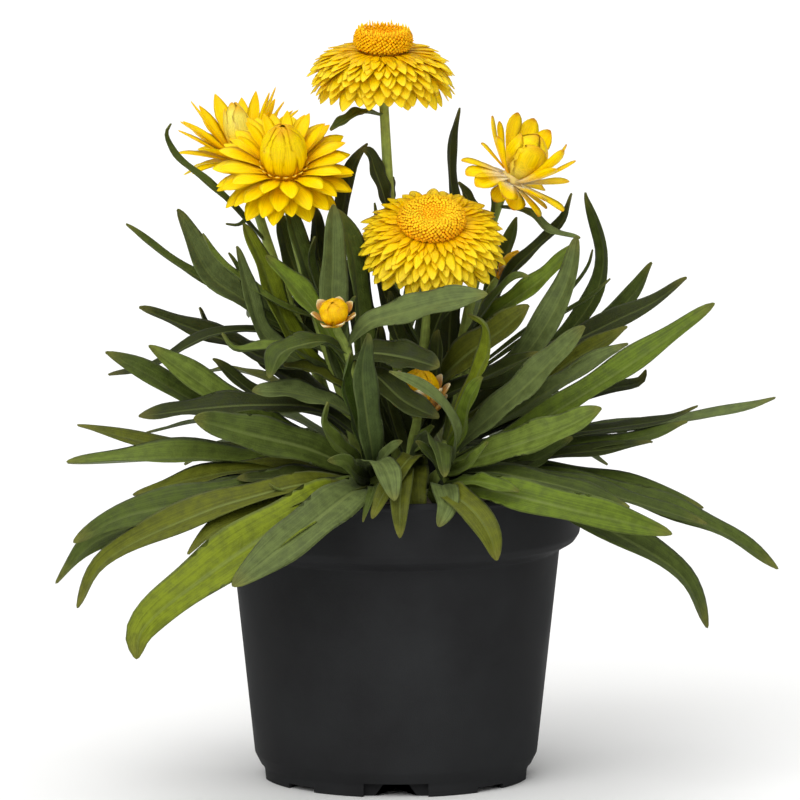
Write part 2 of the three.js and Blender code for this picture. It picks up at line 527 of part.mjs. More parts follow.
      [7, null, 0.3, [-16.5, 97, 13], [-36, 104, 34], [-52, 104, 50], [-66, 96, 62]],
      [7, 0.8, 0.3, [-24.5, 126, 14], [-27.5, 137, 17], [-29, 147, 18], [-28, 158, 18]],
    ],
  },
  leafy_stem_right_bloom: {
    line: [[15, 84, 3], [15.3, 95, 3], [19, 125, 4], [25, 155, 7.5], [29.2, 169, 8], [33.2, 180, 6]],
    radii: [2.2, 1.3],
    leaves: [
      [3.2, 0.6, 0.3, [23, 147, 3.7], [22, 168, 8], [18, 180, 10], [17.5, 197, 10], [20, 207, 9]],
      [3, 0.6, 0.3, [28, 165, 4], [24.8, 175, 5], [22, 180, 6], [19.5, 184, 6.5]],
      [1.1, 0.6, 0.3, [29, 168, 4.5], [30.1, 174, 3], [30, 181.7, 3]],
      [2.2, 0.6, 0.3, [32, 176, 5], [38, 175.6, 2], [43, 173.6, -2], [47.4, 169.2, -5], [57.4, 166.5, -8]],
      [8, 0.8, 0.25, [18.5, 120, 3], [34, 125, -12], [42, 133, -16], [52.6, 152, -17], [56.3, 167.2, -15]],
      [5.5, 0.7, 0.3, [21, 134, 3.4], [27.7, 141.4, -4], [38.6, 149, -9], [48, 156.4, -11],
        [55.5, 164.6, -11]],
      [6, 0.6, 0.2, [18, 115, 3], [42, 128, 4], [68, 141, 4], [80.5, 147, 3], [90.5, 154.3, 2]],
      [6, 0.6, 0.25, [17.3, 108, 3], [40, 118, -5], [54, 128.4, -7], [63.4, 133.7, -8], [72, 139, -8]],
      [5.5, 0.6, 0.2, [17, 105, 3], [30, 109, -6], [49.4, 120.7, -13], [60.3, 127.8, -14],
        [72.3, 133.7, -14]],
      [4.5, 0.6, 0.2, [16, 100, 3], [40, 111, -10], [66.6, 119.7, -16], [76, 122, -16], [77.8, 125.6, -15]],
      [1.3, 0.5, 0.3, [18.5, 120, 3], [50, 142, 1], [60.6, 148.5, -1], [66.6, 154, -2]],
      [2.5, 0.5, 0.3, [21, 134, 3.4], [30.8, 148.7, -12], [37, 154.6, -15], [41.4, 154.6, -15]],
      [8, 0.85, 0.25, [17, 108, 3], [16, 124, 9], [16.5, 140, 13], [18, 154, 15]],
      [6, 0.7, 0.25, [16.5, 103, 3], [25, 114, 8], [33, 120.5, 10], [43, 126, 11]],
    ],
  },
  leafy_stem_back_right: {
    line: [[17, 84, 15], [17.3, 95, 15], [21, 120, 15], [26, 142, 14], [29.9, 151.6, 13]],
    radii: [2, 1.1],
    leaves: [
      [3.6, 0.6, 0.25, [23, 129, 14.5], [35.5, 156, 8], [42, 162.5, 7], [51.6, 172, 6], [54.5, 180.5, 5]],
      [4.5, 0.7, 0.25, [25, 138, 14], [30, 152, 18], [34, 162, 20], [37.5, 173, 20]],
      [5, 0.7, 0.25, [21.5, 122, 15], [45, 130, 11], [61, 147.7, 9], [64.2, 161, 8], [58.7, 180.7, 5]],
      [1.4, 0.6, 0.3, [22, 124, 15], [50, 146, 16], [59.6, 157.7, 15], [61, 163, 15]],
      [6, 0.65, 0.25, [20, 113, 15], [45, 122, 18], [60.3, 136, 19], [75, 151, 18], [79.5, 159, 16]],
      [6, null, 0.3, [21, 119, 15], [24, 136, 32], [26, 146, 48], [27, 148, 62]],
      [6, null, 0.3, [19, 105, 15], [34, 116, 34], [46, 119, 50], [56, 116, 64]],
      [6, null, 0.3, [18, 100, 15], [22, 110, 40], [25, 112, 60], [28, 108, 78]],
      [6, null, 0.3, [18, 98, 15], [42, 106, 24], [62, 108, 30], [80, 103, 34]],
      [8, null, 0.3, [17.5, 94, 15], [24, 105, 38], [30, 107, 58], [36, 98, 84]],
      [8, null, 0.3, [17.5, 96, 15], [12, 107, 36], [9, 109, 56], [7, 103, 76]],
      [7, null, 0.3, [17.5, 97, 15], [36, 104, 36], [52, 104, 50], [66, 96, 62]],
    ],
  },
};

// The heads that the stems carry: the way each looks is its axis, [across, along Y, up].
const HEAD_AXES = {
  leafy_stem_left: [-0.15, -0.7, 1],
  leafy_stem_middle: [0.08, -0.25, 1],
  leafy_stem_front_bloom: [0, -0.62, 1],
  leafy_stem_top_bloom: [0.02, -0.15, 1],
  leafy_stem_left_bloom: [-0.03, -0.62, 1],
  leafy_stem_back_left_bloom: [-0.2, 0.05, 1],
  leafy_stem_right_bloom: [0.6, -0.15, 1],
  leafy_stem_back_right: [0.8, 0, 1],
};
const NECK = 2.5;

function stemCurve(name) {
  const { line } = LEAFY_STEMS[name];
  const points = line.map(seen);
  const foot = points[1];
  points[0].set(foot.x, foot.y, SOIL_HEIGHT - PLANTING_DEPTH);
  points.splice(1, 0, new THREE.Vector3(foot.x, foot.y, SOIL_HEIGHT - 5));
  points.splice(2, 0, new THREE.Vector3(foot.x, foot.y, SOIL_HEIGHT + 2));
  if (HEAD_AXES[name]) points.push(points.at(-1).clone().addScaledVector(headAxis(name), NECK));
  return new THREE.CatmullRomCurve3(points, false, "centripetal");
}

function headAxis(name) {
  return new THREE.Vector3(...HEAD_AXES[name]).normalize();
}

// Solids already in their places, each with the name of its node
const standing = [];

function stand(name, shape) {
  standing.push({ name, shape, bounds: shape.boundingBox() });
}

function near(one, other) {
  return [0, 1, 2].every((k) => one.min[k] < other.max[k] + GAP && other.min[k] < one.max[k] + GAP);
}

// How much of a solid is too close to what stands in other nodes: 0 when it is clear of all.
function crowding(name, shape) {
  const bounds = shape.boundingBox();
  return standing
    .filter((other) => other.name !== name && near(bounds, other.bounds))
    .filter((other) => shape.minGap(other.shape, GAP) < GAP)
    .reduce((sum, other) => sum + 0.01 + shape.intersect(other.shape).volume(), 0);
}

// A leaf bent clear of the other nodes. Its points are moved along the line of sight, so that it
// shows the same from in front: by the smallest step that clears it, either all but the root alike
// or more and more towards the tip.
const STEPS_CLEAR = [0, 1.2, 2.4, 3.6, 5, 6.5, 8, 10, 12, 15, 18].flatMap((step) =>
  step ? [step, -step] : [0],
);
function clearLeaf(name, [width, show, fold, ...points], curve) {
  let best = null;
  for (const step of STEPS_CLEAR) {
    for (const power of [1, 0.3]) {
      const moved = points.map(([u, v, depth], i) => [u, v, depth + step * (i / (points.length - 1)) ** power]);
      const shape = solid(leafBlade([width, show, fold, ...moved], curve));
      const crowded = crowding(name, shape);
      if (crowded === 0) return shape;
      if (!best || crowded < best.crowded) best = { shape, crowded };
    }
  }
  return best.shape;
}

function stemSolid(name) {
  const { line, radii, crown } = LEAFY_STEMS[name];
  const curve = stemCurve(name);
  const pieces = [stemTube(curve, radii, 2 * line.length + 3)];
  if (crown) pieces.push(crownSwelling(curve, crown));
  return fuse(pieces);
}

function leafyStem(name, stem) {
  const curve = stemCurve(name);
  const leaves = LEAFY_STEMS[name].leaves.map((leaf) => {
    const shape = clearLeaf(name, leaf, curve);
    stand(name, shape);
    return shape;
  });
  return backToGeometry(leaves.reduce((whole, leaf) => whole.add(leaf), stem));
}

// The thick foot of a stem where many leaves grow: its radius, length and the height of its middle.
function crownSwelling(curve, [radius, length, height]) {
  const { x, y } = curve.getPoint(0);
  return new THREE.SphereGeometry(1, 8, 6)
    .rotateX(Math.PI / 2)
    .scale(radius, radius, length / 2)
    .translate(x, y, height);
}

// The frame of a head: its origin a gap above the stem's end, its z along the head's axis.
function headFrame(name) {
  const z = headAxis(name);
  const x = new THREE.Vector3(0, 1, 0).cross(z).normalize();
  const y = new THREE.Vector3().crossVectors(z, x);
  const origin = stemCurve(name).getPoint(1).addScaledVector(z, GAP);
  return { origin, x, y, z };
}

function local({ origin, x, y, z }, px, py, pz) {
  return origin.clone().addScaledVector(x, px).addScaledVector(y, py).addScaledVector(z, pz);
}

// A turned solid from a profile of [radius, height] pairs, the first and the last on the axis.
// With relief, every other point of every other ring stands out, so that the surface is knobbly.
function turned(frame, profile, sides, relief = 0) {
  const rings = profile.map(([radius, height], i) => {
    if (radius === 0) return [local(frame, 0, 0, height)];
    return Array.from({ length: sides }, (_, j) => {
      const angle = (j * 2 * Math.PI) / sides;
      const out = radius + ((i + j) % 2 ? relief : 0);
      return local(frame, out * Math.cos(angle), out * Math.sin(angle), height);
    });
  });
  return loft(rings);
}

// A head of bracts, closed as one surface: a foot, layers of bracts from the lowest up, a top.
// Foot and top are profiles of [radius, height] that begin and end on the axis. A layer is its
// root [radius, height] and its bracts, as many in each layer: [angle, bend, tip, width], bend
// and tip being [radius, height] in the head's frame. The bracts of a layer are one sheet up to
// where they come free of each other, thickest along each bract's middle.
const FREE_FROM = 0.52;
const CROWN_AT = 0.5;
const WIDE_AT = 0.76;
const SHEET = 0.8;
const WIDE_GAP = 0.75;
const SECTOR = 0.48;
function bractHead(frame, foot, layers, top) {
  const points = [];
  const faces = [];
  const count = layers[0].bracts.length;
  const point = ([radius, height], angle, lift = 0) => {
    points.push(local(frame, radius * Math.cos(angle), radius * Math.sin(angle), height + lift));
    return points.length - 1;
  };
  const round = (place, angles, lift = 0) =>
    (place[0] === 0 ? [0] : angles).map((angle) => point(place, angle, lift));
  const join = (lower, upper) => {
    for (let j = 0; j < count; j++) {
      const k = (j + 1) % count;
      if (lower.length > 1) faces.push([lower[j], lower[k], upper[upper.length > 1 ? k : 0]]);
      if (upper.length > 1) faces.push([lower[lower.length > 1 ? j : 0], upper[k], upper[j]]);
    }
  };
  const profile = (places, below, angles) => {
    let last = below;
    for (const place of places) {
      const ring = round(place, angles);
      if (last) join(last, ring);
      last = ring;
    }
    return last;
  };
  let between = null;
  let below = null;
  for (const { root, bracts } of layers) {
    const ordered = between ? startNear(bracts, between) : bracts;
    const gaps = ordered.map(([angle], j) => wholeTurn(angle - ordered.at(j - 1)[0]));
    between = ordered.map(([angle], j) => angle - gaps[j] / 2);
    below = below ?? profile(foot, null, between);
    const under = round(root, between, -SHEET);
    const upper = round(root, between);
    join(below, under);
    sheet(root, ordered, gaps, under, upper);
    below = upper;
  }
  profile(top, below, between);

  function sheet(root, bracts, gaps, under, upper) {
    const along = ([, bend, tip], s) =>
      root.map((start, k) => (1 - s) ** 2 * start + 2 * s * (1 - s) * bend[k] + s ** 2 * tip[k]);
    const notches = bracts.map((bract, j) => {
      const before = bracts.at(j - 1);
      const free = gaps[j] < WIDE_GAP ? FREE_FROM : (FREE_FROM * WIDE_GAP) / gaps[j] / 1.5;
      const [one, other] = [along(bract, free), along(before, free)];
      return point(one.map((value, k) => (value + other[k]) / 2), between[j], -SHEET / 2);
    });
    bracts.forEach((bract, j) => {
      const [angle, , , width] = bract;
      const next = (j + 1) % count;
      const crown = point(along(bract, CROWN_AT), angle, 0.15);
      const keel = point(along(bract, CROWN_AT), angle, -SHEET);
      const wide = along(bract, WIDE_AT);
      const spread = Math.atan(width / 2 / Math.max(wide[0], width / 2));
      const low = point(wide, angle - Math.min(spread, SECTOR * gaps[j]), -SHEET / 3);
      const high = point(wide, angle + Math.min(spread, SECTOR * gaps[next]), -SHEET / 3);
      const tip = point(along(bract, 1), angle, -SHEET / 3);
      const outline = [notches[j], low, tip, high, notches[next]];
      const above = [upper[j], ...outline, upper[next]];
      const beneath = [under[j], ...outline, under[next]];
      above.forEach((corner, k) => faces.push([crown, corner, above[(k + 1) % above.length]]));
      beneath.forEach((corner, k) => faces.push([keel, beneath[(k + 1) % beneath.length], corner]));
    });
  }

  const geometry = new THREE.BufferGeometry();
  geometry.setAttribute(
    "position",
    new THREE.Float32BufferAttribute(points.flatMap((p) => [p.x, p.y, p.z]), 3),
  );
  geometry.setIndex(faces.flat());
  geometry.computeVertexNormals();
  return geometry;
}

function wholeTurn(angle) {
  return ((angle % (2 * Math.PI)) + 2 * Math.PI) % (2 * Math.PI);
}

// The bracts in the same order, begun with the one that lies best over the angles given.
function startNear(bracts, angles) {
  const off = (k) =>
    angles.reduce((sum, angle, j) => {
      const [here, before] = [bracts[(j + k) % bracts.length][0], bracts.at((j + k - 1) % bracts.length)[0]];
      const middle = here - wholeTurn(here - before) / 2;
      return sum + (1 - Math.cos(middle - angle));
    }, 0);
  const best = angles.map((_, k) => k).reduce((one, other) => (off(other) < off(one) ? other : one));
  return [...bracts.slice(best), ...bracts.slice(0, best)];
}

// Layers of bracts by rule, the lowest first, every other layer turned by half a step. Layer: root
// radius, root height, length, the rise in degrees at the root and at the tip, width.
function bractLayers(count, rows, seed) {
  const draw = seededDraw(seed);
  const step = (2 * Math.PI) / count;
  return rows.map(([radius, height, length, riseRoot, riseTip, width], k) => {
    const [a, b] = [riseRoot, riseTip].map((rise) => (rise * Math.PI) / 180);
    const bend = [radius + (length / 2) * Math.cos(a), height + (length / 2) * Math.sin(a)];
    const turn = (k % 2) * (step / 2);
    const bracts = Array.from({ length: count }, (_, j) => {
      const angle = turn + (j + 0.5 + 0.12 * draw()) * step;
      const far = (length / 2) * (1 + 0.14 * draw());
      return [angle, bend, [bend[0] + far * Math.cos(b), bend[1] + far * Math.sin(b)], width];
    });
    return { root: [radius, height], bracts };
  });
}

// Layers of bracts by hand, the lowest first. Layer: root radius, root height, bow, then bracts
// given by where their tips show, [u, v, depth, width].
function layersTo(frame, rows) {
  return rows.map(([radius, height, bow, ...tips]) => {
    const root = [radius, height];
    const bracts = tips.map(([u, v, depth, width]) => {
      const reach = seen([u, v, depth]).sub(frame.origin);
      const [x, y] = [reach.dot(frame.x), reach.dot(frame.y)];
      const tip = [Math.hypot(x, y), reach.dot(frame.z)];
      const length = Math.hypot(tip[0] - radius, tip[1] - height);
      const bend = [(radius + tip[0]) / 2 + bow * length, (height + tip[1]) / 2 + Math.abs(bow) * length * 0.3];
      return [Math.atan2(y, x), bend, tip, width];
    });
    bracts.sort((one, other) => one[0] - other[0]);
    return { root, bracts };
  });
}

// The two open blooms, with an orange disc of florets each
const DISC_SIDES = 18;
const DISC_RELIEF = 0.35;
const BLOOM_FOOT = [[0, 0], [2, 0]];
const TOP_COUNT = 15;
const TOP_LAYERS = [
  [4.4, 2, 22.5, -2, -54, 5.8],
  [5.4, 3.2, 20, 2, -44, 5.2],
  [6.2, 4.5, 16.4, 4, -34, 4.6],
  [6.6, 5.9, 11.8, 8, -22, 3.8],
];
const TOP_HEIGHT = 6.4;
const TOP_DISC = [
  [0, 0], [8.6, 0], [9.5, 1.2], [9.7, 2.8], [9.3, 4.6], [8.9, 6], [7.9, 6.4], [6.2, 5], [3, 4.6], [0, 4.8],
];
const FRONT_COUNT = 15;
const FRONT_LAYERS = [
  [4.4, 1.8, 23, -4, -48, 5.6],
  [5.6, 3, 20.4, 2, -38, 5.2],
  [6.4, 4.2, 16.2, 8, -26, 4.6],
  [7, 5.4, 11, 12, -14, 3.8],
];
const FRONT_HEIGHT = 5.8;
const FRONT_DISC = [
  [0, 0], [9.6, 0], [10.5, 1.4], [10.2, 3.2], [8.8, 5], [7, 5.6], [5.2, 5.4], [3, 4.8], [0, 5.2],
];

// The left bloom: layers of bracts round a closed cone
const LEFT_COUNT = 13;
const LEFT_LAYERS = [
  [4.4, 1.8, 17.4, 0, -26, 5.8],
  [5.6, 3, 16.6, 14, -10, 5.6],
  [6.2, 4.2, 15.4, 32, 8, 5],
  [6, 5.4, 13.6, 60, 36, 4],
];
const LEFT_CONE = [[6, 7], [6.7, 9], [6.8, 11.5], [6.2, 14], [4.9, 16.8], [3, 19], [0, 20.2]];

// The back left bloom: half open, its bracts narrow and upright round a pale bud
const BACK_LEFT_COUNT = 9;
const BACK_LEFT_LAYERS = [
  [2.6, 1.9, 18, 16, -14, 4.6],
  [3, 3.1, 20, 36, 26, 4.2],
  [3.2, 4.4, 23, 58, 66, 3.8],
];
const BACK_LEFT_BUD = [[3.1, 6], [3.8, 9], [3.7, 12.4], [2.8, 15.6], [0, 18]];

// The right bloom: wide round-tipped bracts, some up and some turned back, round a closed dome
const RIGHT_LAYERS = [
  [
    3, 1.9, 0.12, [30.5, 177.6, -2, 4.4], [33.5, 179, -13, 6.2], [36.3, 175, -9, 6], [46.5, 178, -13, 4.4],
    [44.4, 173, -11, 4.4], [46.9, 175.4, -3, 3], [30, 183, 14, 5], [38, 180, 17, 5.2], [46, 182, 14, 5],
  ],
  [
    3.4, 3.1, 0.14, [20.2, 190.5, 0, 4], [21.6, 186, -6, 5.6], [24.6, 182.5, -9, 5.4], [52, 174.6, -7, 5],
    [54, 184, 8, 4.4], [56, 190.5, 3, 3.6], [25, 189, 13, 4.6], [40, 190, 21, 5], [50, 188, -10, 4],
  ],
  [
    3.8, 4.6, 0.26, [30, 204.5, 6, 3.4], [32.2, 202.8, 13, 2.6], [38, 205.5, 12, 4.4], [43, 203.7, 16, 5],
    [48, 200, 11, 4.8], [53, 195.7, 4, 3], [52.2, 194, -5, 3.2], [32, 198, -8, 3.2], [26.5, 196, 4, 3],
  ],
];
const RIGHT_DOME = [[3.9, 6], [4.4, 9], [4.3, 12.6], [3.4, 16], [1.9, 17.8], [0, 18.6]];

// Buds: how many small bracts in the collar, its layers, the closed bud's profile
const BUDS = {
  bud_left: {
    stem: "leafy_stem_left", count: 7,
    collar: [[2.6, 1.6, 6.4, 20, 66, 3.2]],
    closed: [[3.6, 2.4], [4.4, 4], [3.6, 6.6], [1.8, 8.2], [0, 8.6]],
  },
  bud_middle: {
    stem: "leafy_stem_middle", count: 8,
    collar: [[3, 1.8, 9, 10, 66, 4], [4, 3.2, 10.6, 40, 80, 4]],
    closed: [[4.8, 4.2], [6, 7.2], [5.4, 10.8], [3, 14], [0, 15.5]],
  },
  bud_right: {
    stem: "leafy_stem_back_right", count: 5,
    collar: [[1.4, 1.2, 5, 30, 70, 2]],
    closed: [[1.8, 2.4], [2.3, 5], [1.7, 8.6], [0, 11]],
  },
};

function budSolid({ stem, count, collar, closed }, seed) {
  return bractHead(headFrame(stem), [[0, 0], [1.3, 0]], bractLayers(count, collar, seed), closed);
}

function openBloom(stem, count, rows, height, seed) {
  const layers = bractLayers(count, rows, seed);
  const top = [[rows.at(-1)[0] - 0.4, height], [0, height]];
  return bractHead(headFrame(stem), BLOOM_FOOT, layers, top);
}

function disc(stem, height, profile) {
  const frame = headFrame(stem);
  frame.origin.addScaledVector(frame.z, height + GAP);
  return turned(frame, profile, DISC_SIDES, DISC_RELIEF);
}

// Soil

const SOIL_SIDES = 16;

function soil() {
  const snug = (radius) => radius * Math.cos(Math.PI / POT_SIDES) - GAP;
  const bodyWall = WALL * 0.8;
  const inner = BODY_FOOT_RADIUS - bodyWall;
  const topRadius = COLLAR_FOOT_RADIUS - WALL + 1;
  const sections = [
    [0, FLOOR_TOP + GAP],
    [snug(inner - 1), FLOOR_TOP + GAP],
    [snug(inner), FLOOR_TOP + GAP + 1],
    [snug(BODY_TOP_RADIUS - bodyWall), BODY_TOP_HEIGHT + 1.4],
    [snug(COLLAR_FOOT_RADIUS - WALL), COLLAR_FOOT_HEIGHT + 1.8],
    [snug(topRadius), SOIL_HEIGHT - 0.6],
  ];
  const top = [0.8, 0.6, 0.4, 0.2].map((share) => [share * topRadius, SOIL_HEIGHT]);
  const rings = [...sections, ...top, [0, SOIL_HEIGHT]].map(([radius, height], i) => {
    const count = radius === 0 ? 1 : SOIL_SIDES;
    return Array.from({ length: count }, (_, j) => {
      const angle = (j * 2 * Math.PI) / SOIL_SIDES;
      const swell = i < sections.length ? 0 : SOIL_SWELL * Math.sin(3 * angle + i) * Math.cos(2 * angle - i);
      return new THREE.Vector3(radius * Math.cos(angle), radius * Math.sin(angle), height + swell);
    });
  });
  let body = solid(loft(rings));
  for (const [name, { radii }] of Object.entries(LEAFY_STEMS)) {
    const foot = stemCurve(name).getPoint(0);
    const sides = 10;
    const radius = (radii[0] + STEM_CLEARANCE) / Math.cos(Math.PI / sides);
    const depth = PLANTING_DEPTH + GAP;
    const hole = new THREE.CylinderGeometry(radius, radius, 2 * depth, sides)
      .rotateX(Math.PI / 2)
      .translate(foot.x, foot.y, SOIL_HEIGHT);
    body = body.subtract(solid(hole));
  }
  return backToGeometry(body);
}

// Finishes
const POT_BLACK = finish(0x2a2a2c, 0.55);
const PEAT = finish(0x2b1d14, 0.95);
const LEAF_GREEN = finish(0x4f6a2e, 0.6);
const PETAL_YELLOW = finish(0xf5cf10, 0.45);
const FLORET_ORANGE = finish(0xf0a20c, 0.6);
const BUD_GOLD = finish(0xe8b51e, 0.5);

// The pot, the soil and the heads stand first, then the bare stems; the leaves are bent clear.
place("pot", pot(), POT_BLACK);
place("soil", soil(), PEAT);
const LEFT_STEM = "leafy_stem_left_bloom";
const leftLayers = bractLayers(LEFT_COUNT, LEFT_LAYERS, 3);
const BACK_LEFT_STEM = "leafy_stem_back_left_bloom";
const backLeftLayers = bractLayers(BACK_LEFT_COUNT, BACK_LEFT_LAYERS, 4);
place("bloom_top", openBloom("leafy_stem_top_bloom", TOP_COUNT, TOP_LAYERS, TOP_HEIGHT, 1), PETAL_YELLOW);
place("disc_top", disc("leafy_stem_top_bloom", TOP_HEIGHT, TOP_DISC), FLORET_ORANGE);
place(
  "bloom_front",
  openBloom("leafy_stem_front_bloom", FRONT_COUNT, FRONT_LAYERS, FRONT_HEIGHT, 2),
  PETAL_YELLOW,
);
place("disc_front", disc("leafy_stem_front_bloom", FRONT_HEIGHT, FRONT_DISC), FLORET_ORANGE);
place("bloom_left", bractHead(headFrame(LEFT_STEM), BLOOM_FOOT, leftLayers, LEFT_CONE), PETAL_YELLOW);
place(
  "bloom_back_left",
  bractHead(headFrame(BACK_LEFT_STEM), BLOOM_FOOT, backLeftLayers, BACK_LEFT_BUD),
  PETAL_YELLOW,
);
const rightFrame = headFrame("leafy_stem_right_bloom");
place(
  "bloom_right",
  bractHead(rightFrame, BLOOM_FOOT, layersTo(rightFrame, RIGHT_LAYERS), RIGHT_DOME),
  PETAL_YELLOW,
);
Object.entries(BUDS).forEach(([name, bud], i) => place(name, budSolid(bud, i + 5), BUD_GOLD));
for (const { name, geometry } of plant.children) stand(name, solid(geometry));
const stems = Object.keys(LEAFY_STEMS).map((name) => [name, stemSolid(name)]);
for (const [name, stem] of stems) stand(name, stem);
for (const [name, stem] of stems) place(name, leafyStem(name, stem), LEAF_GREEN);

export default plant;
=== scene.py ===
# A potted strawflower dressed over its solids: leafy stems, papery yellow blooms, buds, pot and soil.
import json
import math
import bpy
import numpy as np
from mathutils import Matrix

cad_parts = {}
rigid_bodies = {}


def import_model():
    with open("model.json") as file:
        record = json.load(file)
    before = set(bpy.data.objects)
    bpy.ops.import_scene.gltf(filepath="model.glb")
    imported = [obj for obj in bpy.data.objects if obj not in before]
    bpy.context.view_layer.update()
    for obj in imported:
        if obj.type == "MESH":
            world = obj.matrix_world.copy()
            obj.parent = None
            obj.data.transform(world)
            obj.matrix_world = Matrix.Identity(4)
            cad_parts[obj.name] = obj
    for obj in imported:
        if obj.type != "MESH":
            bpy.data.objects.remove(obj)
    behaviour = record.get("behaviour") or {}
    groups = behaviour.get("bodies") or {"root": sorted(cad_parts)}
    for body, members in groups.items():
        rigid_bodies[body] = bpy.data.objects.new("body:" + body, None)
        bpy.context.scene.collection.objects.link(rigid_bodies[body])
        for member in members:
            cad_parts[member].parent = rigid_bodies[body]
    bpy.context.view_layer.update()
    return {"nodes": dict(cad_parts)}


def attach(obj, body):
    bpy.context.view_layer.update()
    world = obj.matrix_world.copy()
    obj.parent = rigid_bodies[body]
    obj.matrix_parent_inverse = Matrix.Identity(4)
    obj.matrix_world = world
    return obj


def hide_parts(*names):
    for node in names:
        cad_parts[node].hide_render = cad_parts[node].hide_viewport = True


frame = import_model()

MM = 0.001
UP = np.array([0.0, 0.0, 1.0])

# Driving sizes of the pot and the soil, in mm
POT_HEIGHT = 94
RIM_RADIUS = 60
COLLAR_FOOT_RADIUS = 57.2
COLLAR_FOOT_HEIGHT = 77
BODY_TOP_RADIUS = 51
BODY_TOP_HEIGHT = 72
BODY_FOOT_RADIUS = 44.1
BODY_FOOT_HEIGHT = 7.7
SKIRT_RADIUS = 41.7
SKIRT_HEIGHT = 3.6
WALL = 1.8
BODY_WALL = WALL * 0.8
FLOOR_UNDERSIDE = 5.2
FLOOR_TOP = 7.2
HUB_RADIUS = 8
NOTCH_WIDTH = 20
NOTCH_HEIGHT = 4.3
SMALL_NOTCH_WIDTH = 11
SMALL_NOTCH_HEIGHT = 1.6
DRAIN_HOLES = 8
DRAIN_RADIUS = 3.5
DRAIN_RING = 27
SOIL_HEIGHT = 84.5
PLANTING_DEPTH = 14
GAP = 0.3

# The place the plant is seen from, which the tables below are measured from
EYE = np.array([1.24, -2600.0, 471.0])
AIM = np.array([1.24, 0.0, 118.0])
AIM_V = 116
LOOK_DOWN = math.atan2(EYE[2] - AIM[2], AIM[1] - EYE[1])
RISE = np.array([0.0, math.sin(LOOK_DOWN), math.cos(LOOK_DOWN)])


def unit(vectors):
    """Each vector divided by its length."""
    return vectors / np.maximum(np.linalg.norm(vectors, axis=-1, keepdims=True), 1e-12)


def turns(sides):
    """The angles of places spread evenly round a circle."""
    return np.arange(sides) * 2 * np.pi / sides


def linked(name, data):
    """A new object of the scene that holds a mesh, a lamp or a camera."""
    made = bpy.data.objects.new(name, data)
    bpy.context.collection.objects.link(made)
    return made


def seen(rows):
    """Places in mm from [across, up, depth] rows: the line of sight through a point of the upright
    plane through the pot's axis, followed to the depth given."""
    rows = np.asarray(rows, float)
    on_plane = AIM + RISE * (rows[:, 1:2] - AIM_V)
    on_plane[:, 0] += rows[:, 0] - AIM[0]
    ray = on_plane - EYE
    return EYE + ray * ((rows[:, 2:3] - EYE[1]) / ray[:, 1:2])


class Line:
    """A centripetal Catmull-Rom line through points, sampled by share of its length: between two
    points it is the cubic that has their places and the tangents of the unevenly spaced knots."""

    STEPS = 200

    def __init__(self, points):
        points = np.asarray(points, float)
        self.spans = len(points) - 1
        self.points = np.vstack([2 * points[0] - points[1], points, 2 * points[-1] - points[-2]])
        self.knots = np.linspace(0, 1, self.STEPS + 1)
        steps = np.linalg.norm(np.diff(self.place(self.knots), axis=0), axis=1)
        run = np.concatenate([[0], np.cumsum(steps)])
        self.length = run[-1]
        self.shares = run / run[-1]

    def place(self, knots):
        """Places at knots from 0 to 1, spread evenly over the spans."""
        along = np.clip(knots, 0, 1) * self.spans
        first = np.minimum(along.astype(int), self.spans - 1)
        w = (along - first)[:, None]
        p0, p1, p2, p3 = (self.points[first + k] for k in range(4))
        d0, d1, d2 = (
            np.maximum(np.linalg.norm(b - a, axis=1), 1e-8)[:, None] ** 0.5
            for a, b in ((p0, p1), (p1, p2), (p2, p3))
        )
        t1 = ((p1 - p0) / d0 - (p2 - p0) / (d0 + d1) + (p2 - p1) / d1) * d1
        t2 = ((p2 - p1) / d1 - (p3 - p1) / (d1 + d2) + (p3 - p2) / d2) * d1
        return p1 + t1 * w + (3 * (p2 - p1) - 2 * t1 - t2) * w**2 + (2 * (p1 - p2) + t1 + t2) * w**3

    def at(self, shares):
        """Places at shares of the length."""
        return self.place(np.interp(shares, self.shares, self.knots))

    def tangents(self, shares):
        """Directions at shares of the length, from two places close by."""
        knots = np.interp(shares, self.shares, self.knots)
        return unit(self.place(np.minimum(knots + 1e-4, 1)) - self.place(np.maximum(knots - 1e-4, 0)))


